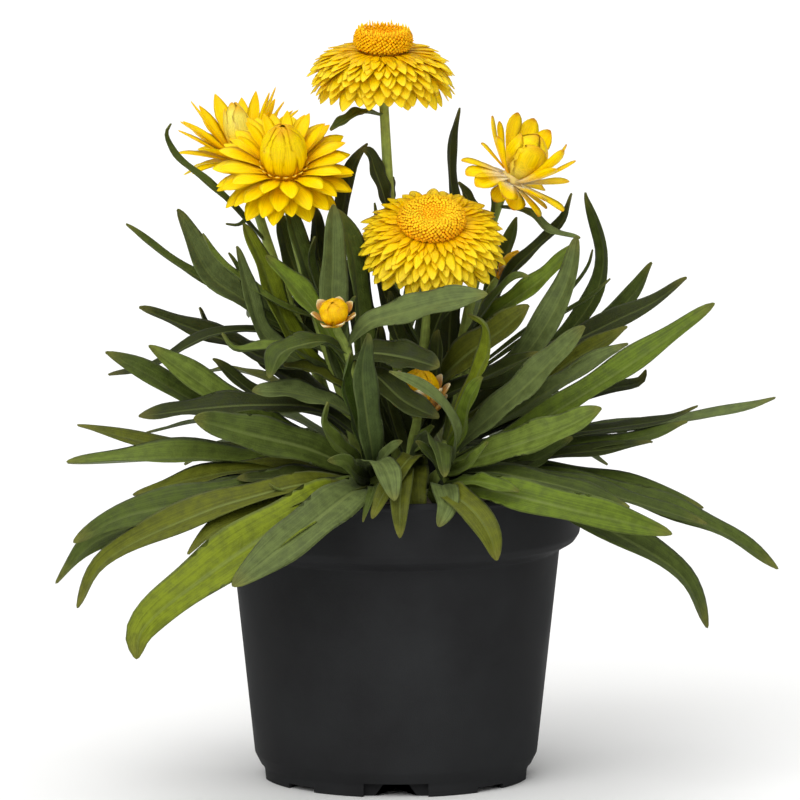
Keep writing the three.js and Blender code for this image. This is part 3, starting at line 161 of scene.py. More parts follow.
class Growth:
    """Many closed shoots gathered into one mesh, with a tone, a place across and a place along for
    each corner."""

    def __init__(self):
        self.places, self.faces, self.kinds, self.tones, self.spots = [], [], [], [], []
        self.count = 0

    def shoots(self, rings, foot, tip, tones, across, along, kind=0):
        """Adds shoots: rings is (shoots, rings, corners round, 3), foot and tip are (shoots, 3).
        Neighbouring rings are joined by quads, and each end is closed with a fan to its point."""
        many, deep, around, _ = rings.shape
        each = deep * around + 2
        places = np.concatenate([rings.reshape(many, -1, 3), foot[:, None], tip[:, None]], axis=1)
        ring = np.arange(deep - 1)[:, None] * around
        j = np.arange(around)
        k = (j + 1) % around
        quads = np.stack([ring + j, ring + k, ring + k + around, ring + j + around], axis=-1).reshape(-1, 4)
        last = (deep - 1) * around
        fans = np.vstack([
            np.stack([np.full(around, each - 2), k, j], axis=1),
            np.stack([last + j, last + k, np.full(around, each - 1)], axis=1),
        ])
        starts = self.count + np.arange(many)[:, None, None] * each
        for part in (quads, fans):
            faces = (starts + part).reshape(-1, part.shape[1])
            self.faces.append(faces)
            self.kinds.append(np.full(len(faces), kind))
        self.places.append(places.reshape(-1, 3))
        shape = (many, deep, around)
        grid = np.broadcast_to(tones, shape + (3,)).reshape(many, -1, 3)
        self.tones.append(np.concatenate([grid, grid[:, :1], grid[:, -1:]], axis=1).reshape(-1, 3))
        across = np.broadcast_to(across, shape).reshape(many, -1)
        along = np.broadcast_to(along, shape).reshape(many, -1)
        ends = np.zeros((many, 2))
        across = np.concatenate([across, ends], axis=1).ravel()
        along = np.concatenate([along, ends + [0, 1]], axis=1).ravel()
        self.spots.append(np.stack([across, along], axis=1))
        self.count += many * each

    def body(self, name):
        """A plain mesh object of all that was added."""
        mesh = bpy.data.meshes.new(name)
        faces = [row for part in self.faces for row in part.tolist()]
        mesh.from_pydata((np.vstack(self.places) * MM).tolist(), [], faces)
        return linked(name, mesh)

    def piece(self, name, slot, nodes, *materials):
        """The finished piece: smooth, with its materials, and with its tone and its places across and
        along as attributes of the corners."""
        made = self.body(name)
        mesh = made.data
        mesh.polygons.foreach_set("use_smooth", np.ones(len(mesh.polygons), bool))
        mesh.polygons.foreach_set("material_index", np.concatenate(self.kinds).astype(np.int32))
        tones = np.vstack(self.tones)
        tones = np.hstack([tones, np.ones((len(tones), 1))]).astype(np.float32)
        mesh.attributes.new("tone", "FLOAT_COLOR", "POINT").data.foreach_set("color", tones.ravel())
        spots = np.vstack(self.spots).astype(np.float32)
        mesh.attributes.new("across", "FLOAT", "POINT").data.foreach_set("value", spots[:, 0].copy())
        mesh.attributes.new("along", "FLOAT", "POINT").data.foreach_set("value", spots[:, 1].copy())
        mesh.update()
        for material in materials:
            mesh.materials.append(material)
        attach(made, "root")
        if nodes:
            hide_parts(*nodes)
        return made


def rgb(code):
    """A colour as light from its code: each share s of full becomes ((s + 0.055) / 1.055)^2.4, or
    s / 12.92 where s is small."""
    share = np.array([int(code[i:i + 2], 16) for i in (1, 3, 5)]) / 255
    return np.where(share <= 0.04045, share / 12.92, ((share + 0.055) / 1.055) ** 2.4)


def smooth(low, high, values):
    """0 below low, 1 above high, and between them the cubic 3t^2 - 2t^3."""
    t = np.clip((values - low) / (high - low), 0, 1)
    return t * t * (3 - 2 * t)


def blend(one, other, share):
    """A mix of two tones, the share being of the second."""
    share = np.asarray(share)[..., None]
    return one * (1 - share) + other * share


# Leafy stems. Each has its line from the soil up, its radii, and its leaves: tone, width as seen,
# share of the width that shows from the front (None for a leaf left to itself), fold of the V, then
# points from the root to the tip.
LEAFY_STEMS = {
    "leafy_stem_left": {
        "line": [[-7, 84, -30], [-7.5, 92, -30], [-10, 105, -30], [-13.5, 125, -31],
                 [-15.9, 133, -32], [-18.3, 137.6, -33.4]],
        "radii": [2.1, 1.3],
        "crown": [4.4, 12, 94.5],
        "leaves": [
            ["bright", 6.5, 0.6, 0.3, [-12.5, 116, -31], [-17, 130, -27], [-24, 143, -25],
             [-32, 152.5, -24], [-40.5, 161, -23]],
            ["mid", 3, 0.4, 0.3, [-12, 112, -30], [-20, 140, -18], [-25, 154, -15],
             [-26.5, 160, -15], [-25, 167, -16]],
            ["grey", 8.5, 0.9, 0.25, [-10.5, 108, -30], [-17, 128, -24], [-19.5, 146, -20],
             [-19.3, 160, -19], [-19.5, 177, -20]],
            ["mid", 6.5, 0.6, 0.35, [-10, 104, -29], [-10, 130, -18], [-10.5, 143, -14],
             [-13.5, 165, -13], [-18.5, 175.5, -15]],
            ["mid", 6, 0.6, 0.3, [-15, 130, -31], [-21, 134.5, -34], [-30, 133.7, -38],
             [-36.4, 130.6, -41], [-39.5, 122.7, -43]],
            ["light", 2.2, 0.35, 0.4, [-14, 125, -31], [-22, 134, -29], [-40, 133, -31],
             [-50, 132.2, -32], [-54, 137, -33]],
            ["mid", 1.6, 0.5, 0.3, [-16.5, 135, -32], [-15, 144, -29], [-12.7, 148.5, -28]],
            ["olive", 3, 0.4, 0.3, [-12.5, 117, -31], [-19, 122, -33], [-26.7, 126, -35],
             [-35, 127, -36]],
            ["dark", 6.5, 0.5, 0.2, [-9.5, 104, -30], [-23.6, 113.5, -31], [-42.3, 115, -31],
             [-61, 113.8, -30], [-80.2, 111, -28]],
            ["grey", 6, 0.6, 0.3, [-10, 110, -31], [-20.5, 115.7, -35], [-33, 119, -38],
             [-44.8, 118.8, -40]],
            ["mid", 11, 0.85, 0.25, [-8, 92, -31], [-26.7, 101, -39], [-45.4, 105.7, -44],
             [-63, 110.4, -47]],
            ["light", 4, 0.6, 0.3, [-8, 93, -32], [-14, 99, -42], [-19.5, 104, -50],
             [-22.4, 109, -53], [-21, 115.5, -54]],
            ["light", 6, 0.4, 0.4, [-8, 91.5, -29], [-20, 94, -27], [-45.4, 97.8, -23],
             [-67, 99.3, -19], [-102.6, 96.8, -13]],
            ["olive", 4.5, 0.5, 0.2, [-8, 91, -28], [-30, 97, -19], [-50, 100, -13],
             [-75, 102.8, -8], [-99.3, 108.4, -5]],
            ["olive", 5, 0.4, 0.2, [-8, 90.5, -29], [-30, 95, -31], [-50, 94.5, -31],
             [-65, 91.5, -30], [-82, 86.5, -29]],
            ["mid", 10, 0.75, 0.25, [-8, 90, -31], [-22, 91, -40], [-38, 89.5, -48],
             [-55, 85.8, -52], [-85, 80, -50], [-100.5, 71.7, -47]],
            ["mid", 8.5, 0.65, 0.25, [-8, 90, -29], [-30, 92, -36], [-47, 89, -41], [-62, 83.5, -43],
             [-94, 72.3, -40], [-106, 58.9, -37]],
            ["olive", 8, 0.6, 0.25, [-8, 89.5, -33], [-28, 90.5, -52], [-45, 86.5, -59],
             [-60, 81.8, -61], [-91.5, 65.7, -58], [-99.3, 51.2, -55]],
            ["yellow", 14, 0.85, 0.3, [-8, 89.5, -31], [-20, 86.8, -52], [-30, 81.3, -62],
             [-58, 62.8, -74], [-79.5, 44, -80], [-80.8, 35.3, -80]],
            ["olive", 6, 0.5, 0.25, [-8, 90, -31], [-18, 89, -53], [-30, 86, -59], [-45, 80.5, -64],
             [-57, 75.5, -67], [-65, 68, -68]],
            ["grey", 12.5, 0.9, 0.2, [-8, 88.5, -33], [-13, 88, -56], [-23.6, 80, -71],
             [-36, 70, -80], [-51, 58, -85]],
            ["light", 2.5, 0.4, 0.4, [-8, 91, -32], [-14, 91, -43], [-30, 88.5, -54], [-36, 88, -57],
             [-39.5, 90.2, -58]],
            ["dark", 5, 0.5, 0.25, [-8, 91.5, -31], [-20, 93, -40], [-33, 92.6, -46],
             [-49.5, 91.5, -49]],
            ["mid", 4, 0.7, 0.2, [-8, 90.5, -33], [-12, 93, -50], [-16, 97, -57], [-21.3, 97.2, -60]],
            ["mid", 3, 0.8, 0.2, [-7, 88, -34], [-7.2, 88.5, -57], [-8.8, 83.5, -63.5],
             [-10.4, 78, -65]],
            ["grey", 9, None, 0.2, [-8, 91, -33], [-8.5, 96.5, -46], [-4.5, 97, -57], [-2, 92, -65],
             [-0.5, 84.6, -70]],
            ["grey", 3, 0.7, 0.2, [-7, 93, -33], [-5.6, 96.4, -42], [-1.9, 101, -50], [1.9, 103.3, -54]],
            ["dark", 7.5, 0.75, 0.25, [-13, 123, -31], [-7.5, 124.7, -38], [2.8, 116, -45],
             [13.4, 110.4, -49]],
            ["dark", 8.5, 0.75, 0.25, [-14.5, 128, -32], [-9, 131, -38], [2.8, 129.7, -44],
             [13.5, 126.3, -49]],
            ["blue", 7.5, 0.8, 0.3, [-7, 92, -33], [-6.8, 97, -41], [-8.7, 111.3, -49],
             [-10, 125.3, -53], [-8.5, 136.8, -55]],
            ["green", 4, 0.5, 0.3, [-8, 93, -32], [-9.3, 99, -37], [-12.4, 109.8, -42],
             [-15.5, 121.6, -46], [-13.7, 131, -47]],
            ["grey", 8, 0.75, 0.25, [-15.5, 132.5, -32], [-9, 140, -34], [0, 143, -37],
             [15, 147, -41], [28.5, 149, -43]],
        ],
    },
    "leafy_stem_right": {
        "line": [[13, 84, -30], [13.3, 92, -30], [14.5, 98, -31], [15.5, 103, -32]],
        "radii": [2, 1.3],
        "crown": [4.2, 11, 95],
        "leaves": [
            ["light", 9, 0.8, 0.3, [14, 93.6, -30], [26, 98.6, -36], [38.6, 103, -42],
             [51, 107.3, -46], [64, 113.5, -48]],
            ["mid", 6, 0.5, 0.25, [14, 92, -29], [23, 93.3, -29], [41.7, 97.3, -31], [55, 104.5, -31]],
            ["grey", 8, 0.75, 0.3, [15, 98, -30], [27.7, 110, -34], [40, 120.7, -38],
             [51, 131.6, -41], [58.8, 139, -42]],
            ["yellow", 3.5, 0.4, 0.3, [15, 101, -31], [24.6, 123.8, -40], [28, 131.6, -43],
             [27.4, 139.3, -43], [22, 142.7, -41]],
            ["bright", 4.5, 0.6, 0.35, [15, 97, -31], [19.9, 105.7, -38], [22.3, 116, -44],
             [26.8, 123.3, -47]],
            ["light", 3, 0.6, 0.3, [14, 92, -32], [21.8, 96, -45], [24.8, 98.7, -50], [28.5, 103, -54]],
            ["bright", 7.5, 0.7, 0.3, [14.5, 96, -29], [32, 103, -26], [60.3, 119.7, -25],
             [85, 136, -23], [99.2, 146.2, -21]],
            ["grey", 3.5, 0.4, 0.25, [13.5, 94, -28], [23, 96, -24], [59, 106, -12], [94.5, 111, -6],
             [111.6, 114.6, -3], [118.2, 117, -2]],
            ["dark", 3, 0.5, 0.2, [40, 101, -20], [69.7, 108, -16], [85.8, 110.7, -14],
             [94, 114.4, -13]],
            ["mid", 4.5, 0.5, 0.2, [13.5, 93.5, -28], [30, 97, -27], [54, 101.5, -21],
             [79, 105.4, -19], [90.8, 109.5, -18]],
            ["dark", 4, 0.5, 0.2, [13.5, 93, -28], [30, 96, -30], [54, 99.8, -26], [66.6, 101, -25],
             [79.6, 103.3, -24]],
            ["mid", 6.5, 0.55, 0.25, [14, 92.5, -29], [26, 95, -29], [57, 90.4, -34],
             [76, 85.6, -35], [104, 74.2, -33], [119, 63.4, -31]],
            ["mid", 5, 0.5, 0.25, [14, 92, -30], [28, 94.5, -36], [54, 90.5, -43], [82, 82.4, -43],
             [97, 77.4, -42]],
            ["mid", 4.5, 0.5, 0.25, [14, 92.5, -28], [28, 95, -25], [44.8, 94.8, -24], [82, 88, -24],
             [95.8, 82.4, -23]],
            ["bright", 9.5, 0.8, 0.25, [13.5, 89.5, -31], [29, 88.4, -54], [44.8, 84.8, -63],
             [57, 81.8, -65], [72.8, 78, -64], [86, 74.3, -62]],
            ["mid", 8.5, 0.6, 0.3, [14, 90.5, -31], [32, 89.2, -48], [46, 85.7, -54],
             [68, 75.6, -55], [90, 61, -52], [97, 45, -49]],
            ["mid", 5, 0.5, 0.25, [14, 92, -31], [27.7, 94.2, -38], [41.7, 92, -46], [57, 88.3, -51],
             [72.8, 82.7, -53]],
            ["bright", 4.5, 0.6, 0.2, [13, 89.5, -33], [26, 91, -57], [38.3, 87.5, -66]],
            ["olive", 8.5, 0.9, 0.2, [13.2, 88.5, -33], [17, 87.6, -57], [24.6, 81.2, -66],
             [29.2, 74, -70], [31.4, 66, -71]],
            ["grey", 8, None, 0.15, [12.8, 88.5, -34], [15, 89, -55], [16, 83, -64], [13.2, 76.5, -66]],
            ["mid", 3.2, 0.6, 0.3, [13, 88.5, -34], [14.6, 92.4, -45], [11.2, 98.6, -53],
             [6.2, 103.3, -57]],
            ["grey", 3.6, 0.6, 0.3, [14, 92, -32], [18.7, 101, -48], [19, 106.7, -53],
             [14.6, 115, -58], [7.5, 120.7, -60], [-2.2, 125, -61]],
        ],
    },
    "leafy_stem_middle": {
        "line": [[4, 84, -22], [4.2, 92, -22], [5, 103, -24], [6.3, 108.5, -26]],
        "radii": [1.9, 1.4],
        "leaves": [
            ["dark", 4, 0.45, 0.25, [5.3, 105, -24.5], [12.8, 116.3, -30], [22.8, 121.5, -36],
             [34.7, 127, -43], [44.2, 131, -47]],
            ["light", 3.5, 0.6, 0.3, [4.8, 103, -24], [7, 102.6, -34], [11.5, 108, -39]],
            ["olive", 14, None, 0.12, [4, 93, -22], [3.4, 97.5, -38], [3, 93.5, -53], [4, 86, -62],
             [6.5, 77.8, -65]],
            ["olive", 7, None, 0.2, [4.2, 91.5, -22], [2.5, 95, -42], [1.8, 92, -58], [1.2, 83, -67],
             [1.2, 73, -69]],
            ["olive", 7, None, 0.2, [4.2, 93, -22], [5.5, 99, -42], [3, 97, -52], [-4, 87, -62],
             [-7.5, 79, -64]],
            ["mid", 6, 0.7, 0.25, [4.6, 97, -22], [12, 104, -34], [14, 100, -44], [15, 92, -50]],
            ["dark", 5.5, 0.6, 0.3, [4.4, 95, -22], [9, 108, -20], [12, 124, -18], [13, 138, -18]],
            ["dark", 5, 0.6, 0.3, [4.4, 95, -22], [0, 108, -18], [-4, 124, -14], [-5, 140, -12]],
        ],
    },
    "leafy_stem_front_bloom": {
        "line": [[5, 84, -3], [5.4, 95, -3], [7.5, 120, -6], [10, 145, -9], [11.1, 164.2, -8.4]],
        "radii": [2.2, 1.5],
        "leaves": [
            ["olive", 9, 0.7, 0.25, [7, 116, -4], [15.2, 124.7, -14], [23, 131.6, -20],
             [32.3, 138, -24], [41.4, 145.5, -26]],
            ["mid", 1.6, 0.5, 0.3, [8, 132, -5], [-1, 150, -3], [-5.5, 166, -1], [-6.5, 177.5, 0]],
            ["dark", 6, 0.6, 0.3, [8, 128, -5], [1, 140, -8], [-4, 152, -10], [-7, 164, -10]],
            ["dark", 6, 0.6, 0.3, [8, 130, -5], [13, 142, -14], [17, 150, -19], [19, 157, -21]],
            ["dark", 5, 0.6, 0.3, [7.5, 122, -4], [2, 133, -12], [-1, 142, -16], [-2, 150, -17]],
            ["dark", 8, 0.85, 0.2, [5.4, 97, -3], [3, 104, -8], [0, 112, -12], [-3, 121, -13]],
            ["dark", 8, 0.85, 0.2, [5.4, 98, -3], [9, 106, -8], [13, 114, -10], [17, 122, -11]],
        ],
    },
    "leafy_stem_top_bloom": {
        "line": [[0, 84, 9], [0, 95, 9], [-0.2, 130, 11], [-1.2, 165, 11.5], [-2.6, 186, 10.5],
                 [-4.2, 216.3, 8]],
        "radii": [2.3, 1.4],
        "leaves": [
            ["dark", 4.6, 0.7, 0.3, [-1.6, 172, 9], [-3.8, 181, 6], [-6.3, 188, 5], [-8, 192.8, 4.5],
             [-10.4, 194, 4]],
            ["dark", 2.5, 0.6, 0.3, [-1.8, 174, 8.5], [-1.2, 180, 6.4], [-1, 185.5, 5.6]],
            ["mid", 3, 0.5, 0.3, [-3.8, 205, 8], [-10.5, 206, 3], [-15.5, 203.5, 0], [-20.6, 200, -2]],
            ["mid", 6, None, 0.3, [-0.1, 126, 10], [4, 143, 28], [6, 152, 46], [7, 153, 60]],
            ["mid", 6, None, 0.3, [-0.1, 118, 10], [-6, 134, 28], [-10, 145, 46], [-12, 148, 64]],
            ["mid", 7, 0.6, 0.3, [-0.1, 108, 10], [6, 128, 20], [12, 146, 26], [14, 160, 28]],
            ["dark", 8, 0.75, 0.3, [-0.1, 110, 10], [-8, 130, 18], [-12.5, 148, 22], [-13.5, 166, 23]],
            ["dark", 8, 0.8, 0.3, [0, 97, 9], [-5, 106, 4], [-10, 118, 2], [-13, 130, 2]],
            ["dark", 8, 0.8, 0.3, [0, 98, 9], [6, 108, 4], [10, 120, 2], [13, 132, 2]],
        ],
    },
    "leafy_stem_left_bloom": {
        "line": [[-11, 84, -3], [-11.3, 95, -3], [-15, 112, -4], [-24, 140, -5], [-31.5, 167, -4],
                 [-34.5, 182.3, -1]],
        "radii": [2.3, 1.5],
        "leaves": [
            ["yellow", 6.5, 0.7, 0.3, [-18, 122, -5], [-28, 131, -9], [-34, 140, -11],
             [-42, 160, -10], [-47.5, 171, -9]],
            ["mid", 6.5, 0.7, 0.3, [-17.5, 120, -5], [-21.5, 140, -12], [-24.5, 149, -14],
             [-31.5, 170, -12], [-34, 178, -11.5]],
            ["dark", 5.5, 0.7, 0.3, [-16.5, 117, -4.5], [-18, 150, 0], [-18, 165, 3], [-14, 188, 5],
             [-8.8, 196, 5]],
            ["mid", 3, 0.5, 0.3, [-22, 134, -5], [-35, 142, -1], [-50, 148.5, 1], [-70, 160, 3],
             [-84, 171, 4]],
            ["grey", 8, 0.7, 0.4, [-21, 130, -5], [-35, 140, -6], [-48, 148.5, -7], [-57, 155, -7],
             [-68, 175.5, -6]],
            ["light", 2, 0.4, 0.3, [-24.5, 142, -5], [-35, 145.5, -13], [-45, 152, -16],
             [-56, 161, -17], [-60, 168, -17]],
            ["grey", 5, 0.7, 0.3, [-19, 125, -5], [-33, 130, -14], [-41, 137, -18], [-46, 152, -19],
             [-49.5, 164, -19]],
            ["mid", 2.5, 0.6, 0.3, [-22, 134, -5], [-44, 145, -13], [-49, 157, -14], [-52, 162, -14]],
            ["dark", 5.5, 0.5, 0.2, [-18.5, 124, -5], [-40, 129, 0], [-50, 134, 2], [-60, 137.5, 3],
             [-80, 145, 4]],
            ["dark", 2.5, 0.4, 0.3, [-19.5, 127, -5], [-40, 137.5, -6], [-58, 136.5, -7],
             [-78, 126, -8], [-89.7, 124, -8]],
            ["mid", 7.5, 0.65, 0.25, [-12.5, 99, -3], [-35, 105, -12], [-60, 115, -16],
             [-80, 126, -18], [-90.5, 131, -18]],
            ["light", 8.5, 0.75, 0.25, [-12.5, 99, -3], [-30, 104, -14], [-48, 113.5, -22],
             [-66, 125.5, -25], [-77, 133, -26]],
            ["dark", 4.5, 0.6, 0.2, [-14.5, 110, -4], [-30, 114, -8], [-42, 117.5, -10],
             [-57, 129, -11]],
            ["mid", 7, 0.8, 0.3, [-24, 140, -5], [-28, 150, 3], [-33, 162, 6], [-36, 174, 7]],
            ["dark", 7, 0.8, 0.3, [-18, 122, -4.5], [-20, 144, 4], [-23.5, 160, 7], [-25, 176, 8]],
            ["dark", 7, 0.6, 0.25, [-13, 103, -3], [-24, 117, 1], [-33, 123.5, 2], [-43, 128, 2]],
        ],
    },
    "leafy_stem_back_left_bloom": {
        "line": [[-16, 84, 13], [-16.3, 95, 13], [-23, 120, 14], [-34, 148, 16], [-41, 168, 22.5],
                 [-46, 185, 26.7]],
        "radii": [2.2, 1.4],
        "leaves": [
            ["mid", 2.3, 0.6, 0.3, [-40.5, 167, 13], [-54, 180, 10], [-69, 193, 9], [-71.4, 199, 9],
             [-69.7, 202, 9]],
            ["mid", 1.6, 0.6, 0.3, [-43, 176, 13], [-43.8, 176, 8], [-46, 172.6, 4], [-49, 170.7, 3],
             [-53, 171, 3]],
            ["dark", 3, 0.5, 0.3, [-27, 131, 13], [-46, 133, 12], [-57, 137, 10], [-61, 145, 9]],
            ["mid", 4, None, 0.3, [-25, 126, 13], [-38, 140, 30], [-44, 144, 48], [-46, 142, 62]],
            ["olive", 6, None, 0.3, [-20, 110, 13], [-38, 122, 30], [-52, 126, 44], [-64, 124, 54]],
            ["mid", 6, None, 0.3, [-18, 102, 13], [-30, 110, 38], [-38, 112, 58], [-44, 108, 76]],
            ["dark", 7, None, 0.3, [-29, 138, 13], [-27, 152, 26], [-24, 160, 38], [-22, 160, 50]],
            ["mid", 6, None, 0.3, [-17, 99, 13], [-40, 108, 22], [-60, 110, 28], [-78, 106, 32]],
            ["mid", 8, None, 0.3, [-16.3, 94, 13], [-26, 105, 34], [-34, 106, 56], [-40, 97, 80]],
            ["olive", 8, None, 0.3, [-16.3, 96, 13], [-16, 108, 34], [-17, 110, 54], [-18, 104, 74]],
            ["mid", 7, None, 0.3, [-16.5, 97, 13], [-36, 104, 34], [-52, 104, 50], [-66, 96, 62]],
            ["dark", 7, 0.8, 0.3, [-24.5, 126, 14], [-27.5, 137, 17], [-29, 147, 18], [-28, 158, 18]],
        ],
    },
    "leafy_stem_right_bloom": {
        "line": [[15, 84, 3], [15.3, 95, 3], [19, 125, 4], [25, 155, 7.5], [29.2, 169, 8],
                 [33.2, 180, 6]],
        "radii": [2.2, 1.3],
        "leaves": [
            ["dark", 3.2, 0.6, 0.3, [23, 147, 3.7], [22, 168, 8], [18, 180, 10], [17.5, 197, 10],
             [20, 207, 9]],
            ["dark", 3, 0.6, 0.3, [28, 165, 4], [24.8, 175, 5], [22, 180, 6], [19.5, 184, 6.5]],
            ["mid", 1.1, 0.6, 0.3, [29, 168, 4.5], [30.1, 174, 3], [30, 181.7, 3]],
            ["grey", 2.2, 0.6, 0.3, [32, 176, 5], [38, 175.6, 2], [43, 173.6, -2], [47.4, 169.2, -5],
             [57.4, 166.5, -8]],
            ["grey", 8, 0.8, 0.25, [18.5, 120, 3], [34, 125, -12], [42, 133, -16], [52.6, 152, -17],
             [56.3, 167.2, -15]],
            ["bright", 5.5, 0.7, 0.3, [21, 134, 3.4], [27.7, 141.4, -4], [38.6, 149, -9],
             [48, 156.4, -11], [55.5, 164.6, -11]],
            ["dark", 6, 0.6, 0.2, [18, 115, 3], [42, 128, 4], [68, 141, 4], [80.5, 147, 3],
             [90.5, 154.3, 2]],
            ["olive", 6, 0.6, 0.25, [17.3, 108, 3], [40, 118, -5], [54, 128.4, -7],
             [63.4, 133.7, -8], [72, 139, -8]],
            ["grey", 5.5, 0.6, 0.2, [17, 105, 3], [30, 109, -6], [49.4, 120.7, -13],
             [60.3, 127.8, -14], [72.3, 133.7, -14]],
            ["dark", 4.5, 0.6, 0.2, [16, 100, 3], [40, 111, -10], [66.6, 119.7, -16], [76, 122, -16],
             [77.8, 125.6, -15]],
            ["mid", 1.3, 0.5, 0.3, [18.5, 120, 3], [50, 142, 1], [60.6, 148.5, -1], [66.6, 154, -2]],
            ["mid", 2.5, 0.5, 0.3, [21, 134, 3.4], [30.8, 148.7, -12], [37, 154.6, -15],
             [41.4, 154.6, -15]],
            ["dark", 8, 0.85, 0.25, [17, 108, 3], [16, 124, 9], [16.5, 140, 13], [18, 154, 15]],
            ["dark", 6, 0.7, 0.25, [16.5, 103, 3], [25, 114, 8], [33, 120.5, 10], [43, 126, 11]],
        ],
    },
    "leafy_stem_back_right": {
        "line": [[17, 84, 15], [17.3, 95, 15], [21, 120, 15], [26, 142, 14], [29.9, 151.6, 13]],
        "radii": [2, 1.1],
        "leaves": [
            ["dark", 3.6, 0.6, 0.25, [23, 129, 14.5], [35.5, 156, 8], [42, 162.5, 7], [51.6, 172, 6],
             [54.5, 180.5, 5]],
            ["mid", 4.5, 0.7, 0.25, [25, 138, 14], [30, 152, 18], [34, 162, 20], [37.5, 173, 20]],
            ["mid", 5, 0.7, 0.25, [21.5, 122, 15], [45, 130, 11], [61, 147.7, 9], [64.2, 161, 8],
             [58.7, 180.7, 5]],
            ["mid", 1.4, 0.6, 0.3, [22, 124, 15], [50, 146, 16], [59.6, 157.7, 15], [61, 163, 15]],
            ["mid", 6, 0.65, 0.25, [20, 113, 15], [45, 122, 18], [60.3, 136, 19], [75, 151, 18],
             [79.5, 159, 16]],
            ["mid", 6, None, 0.3, [21, 119, 15], [24, 136, 32], [26, 146, 48], [27, 148, 62]],
            ["dark", 6, None, 0.3, [19, 105, 15], [34, 116, 34], [46, 119, 50], [56, 116, 64]],
            ["mid", 6, None, 0.3, [18, 100, 15], [22, 110, 40], [25, 112, 60], [28, 108, 78]],
            ["mid", 6, None, 0.3, [18, 98, 15], [42, 106, 24], [62, 108, 30], [80, 103, 34]],
            ["mid", 8, None, 0.3, [17.5, 94, 15], [24, 105, 38], [30, 107, 58], [36, 98, 84]],
            ["olive", 8, None, 0.3, [17.5, 96, 15], [12, 107, 36], [9, 109, 56], [7, 103, 76]],
            ["mid", 7, None, 0.3, [17.5, 97, 15], [36, 104, 36], [52, 104, 50], [66, 96, 62]],
        ],
    },
}

# The way each head looks: [across, along Y, up]
HEAD_AXES = {
    "leafy_stem_left": [-0.15, -0.7, 1],
    "leafy_stem_middle": [0.08, -0.25, 1],
    "leafy_stem_front_bloom": [0, -0.62, 1],
    "leafy_stem_top_bloom": [0.02, -0.15, 1],
    "leafy_stem_left_bloom": [-0.03, -0.62, 1],
    "leafy_stem_back_left_bloom": [-0.2, 0.05, 1],
    "leafy_stem_right_bloom": [0.6, -0.15, 1],
    "leafy_stem_back_right": [0.8, 0, 1],
}
NECK = 2.5
WIDEST = 0.6
FOOT_SHARE = 0.15
LEAF_RINGS = np.array([0, 0.22, 0.46, 0.7, 0.89, 1])
LEAF_KEEL = 0.85
LEAF_SINK = 0.55


def stem_line(name):
    """The line of a stem: straight up out of the soil, through its points, on along its head's axis."""
    points = seen(LEAFY_STEMS[name]["line"])
    foot = points[1]
    rooted = [[foot[0], foot[1], SOIL_HEIGHT + rise] for rise in (-PLANTING_DEPTH, -5, 2)]
    points = np.vstack([rooted, points[1:]])
    if name in HEAD_AXES:
        points = np.vstack([points, points[-1] + unit(np.array(HEAD_AXES[name], float)) * NECK])
    return Line(points)


def leaf_outline(share):
    """Half the width of a leaf as a share of its widest: s^a (1 - s)^b over its value at WIDEST,
    where it peaks, and FOOT_SHARE (1 - s)^2 more at the foot."""
    a, b = WIDEST * 1.45, (1 - WIDEST) * 1.45
    peak = WIDEST**a * (1 - WIDEST) ** b
    return share**a * (1 - share) ** b / peak + FOOT_SHARE * (1 - share) ** 2


def carried(vector, before, after):
    """A vector turned by the smallest turn that takes one direction to another."""
    axis = np.cross(before, after)
    once = np.cross(axis, vector)
    return vector + once + np.cross(axis, once) / (1 + before @ after)


def face_directions(centres, tangents, show):
    """The way the upper face points at each ring: up and towards the stem, or turned about the
    leaf's line until the share given shows from the front at the middle, and carried both ways."""
    out = centres[-1] - centres[0]
    out[2] = 0
    natural = unit(np.cross(tangents, np.cross(UP, unit(out))))
    if show is None:
        return natural
    middle = len(centres) // 2
    along = tangents[middle]
    to_eye = unit(EYE - centres[middle])
    facing = unit(to_eye - along * (to_eye @ along))
    turned = np.cross(along, facing)
    sign = np.sign(natural[middle] @ turned) or 1
    faces = np.zeros_like(natural)
    faces[middle] = facing * show + turned * sign * math.sqrt(1 - show * show)
    for i in range(middle, 0, -1):
        faces[i - 1] = carried(faces[i], tangents[i], tangents[i - 1])
    for i in range(middle, len(centres) - 1):
        faces[i + 1] = carried(faces[i], tangents[i], tangents[i + 1])
    return faces


class Blade:
    """A leaf's line and the ways its face points, from its row of the table and a bend in depth."""

    def __init__(self, row, stem, bend=0.0, power=1.0):
        _, self.width, show, self.fold, *points = row
        points = np.array(points, float)
        points[:, 2] += bend * np.linspace(0, 1, len(points)) ** power
        places = seen(points)
        off = np.linalg.norm(stem - places[0], axis=1)
        places[0] = stem[np.argmin(off)]
        self.line = Line(places)
        if show is not None:
            self.width /= abs(show)
        centres, tangents = self.line.at(LEAF_RINGS), self.line.tangents(LEAF_RINGS)
        self.faces = face_directions(centres, tangents, show)

    def sections(self, shares):
        """Centres, sides, faces and half widths at shares of the length."""
        along = self.line.tangents(shares)
        face = np.stack([np.interp(shares, LEAF_RINGS, self.faces[:, k]) for k in range(3)], axis=1)
        face = unit(face - along * np.sum(face * along, axis=1, keepdims=True))
        half = self.width / 2 * leaf_outline(shares)
        sunk = self.line.at(shares) - face * (LEAF_SINK * self.fold * half)[:, None]
        return sunk, np.cross(along, face), face, half

    def corners(self):
        """The corners its solid has past its middle, by which its bend is told."""
        shares = LEAF_RINGS[2:5]
        centre, side, face, half = self.sections(shares)
        half = half[:, None]
        keel = (LEAF_KEEL * (1 - 0.45 * shares))[:, None]
        edge = face * half * self.fold
        tip = self.line.at(LEAF_RINGS[-1:])
        edges = [centre + sign * side * half + edge for sign in (-1, 1)]
        return np.vstack([*edges, centre - face * keel, tip])


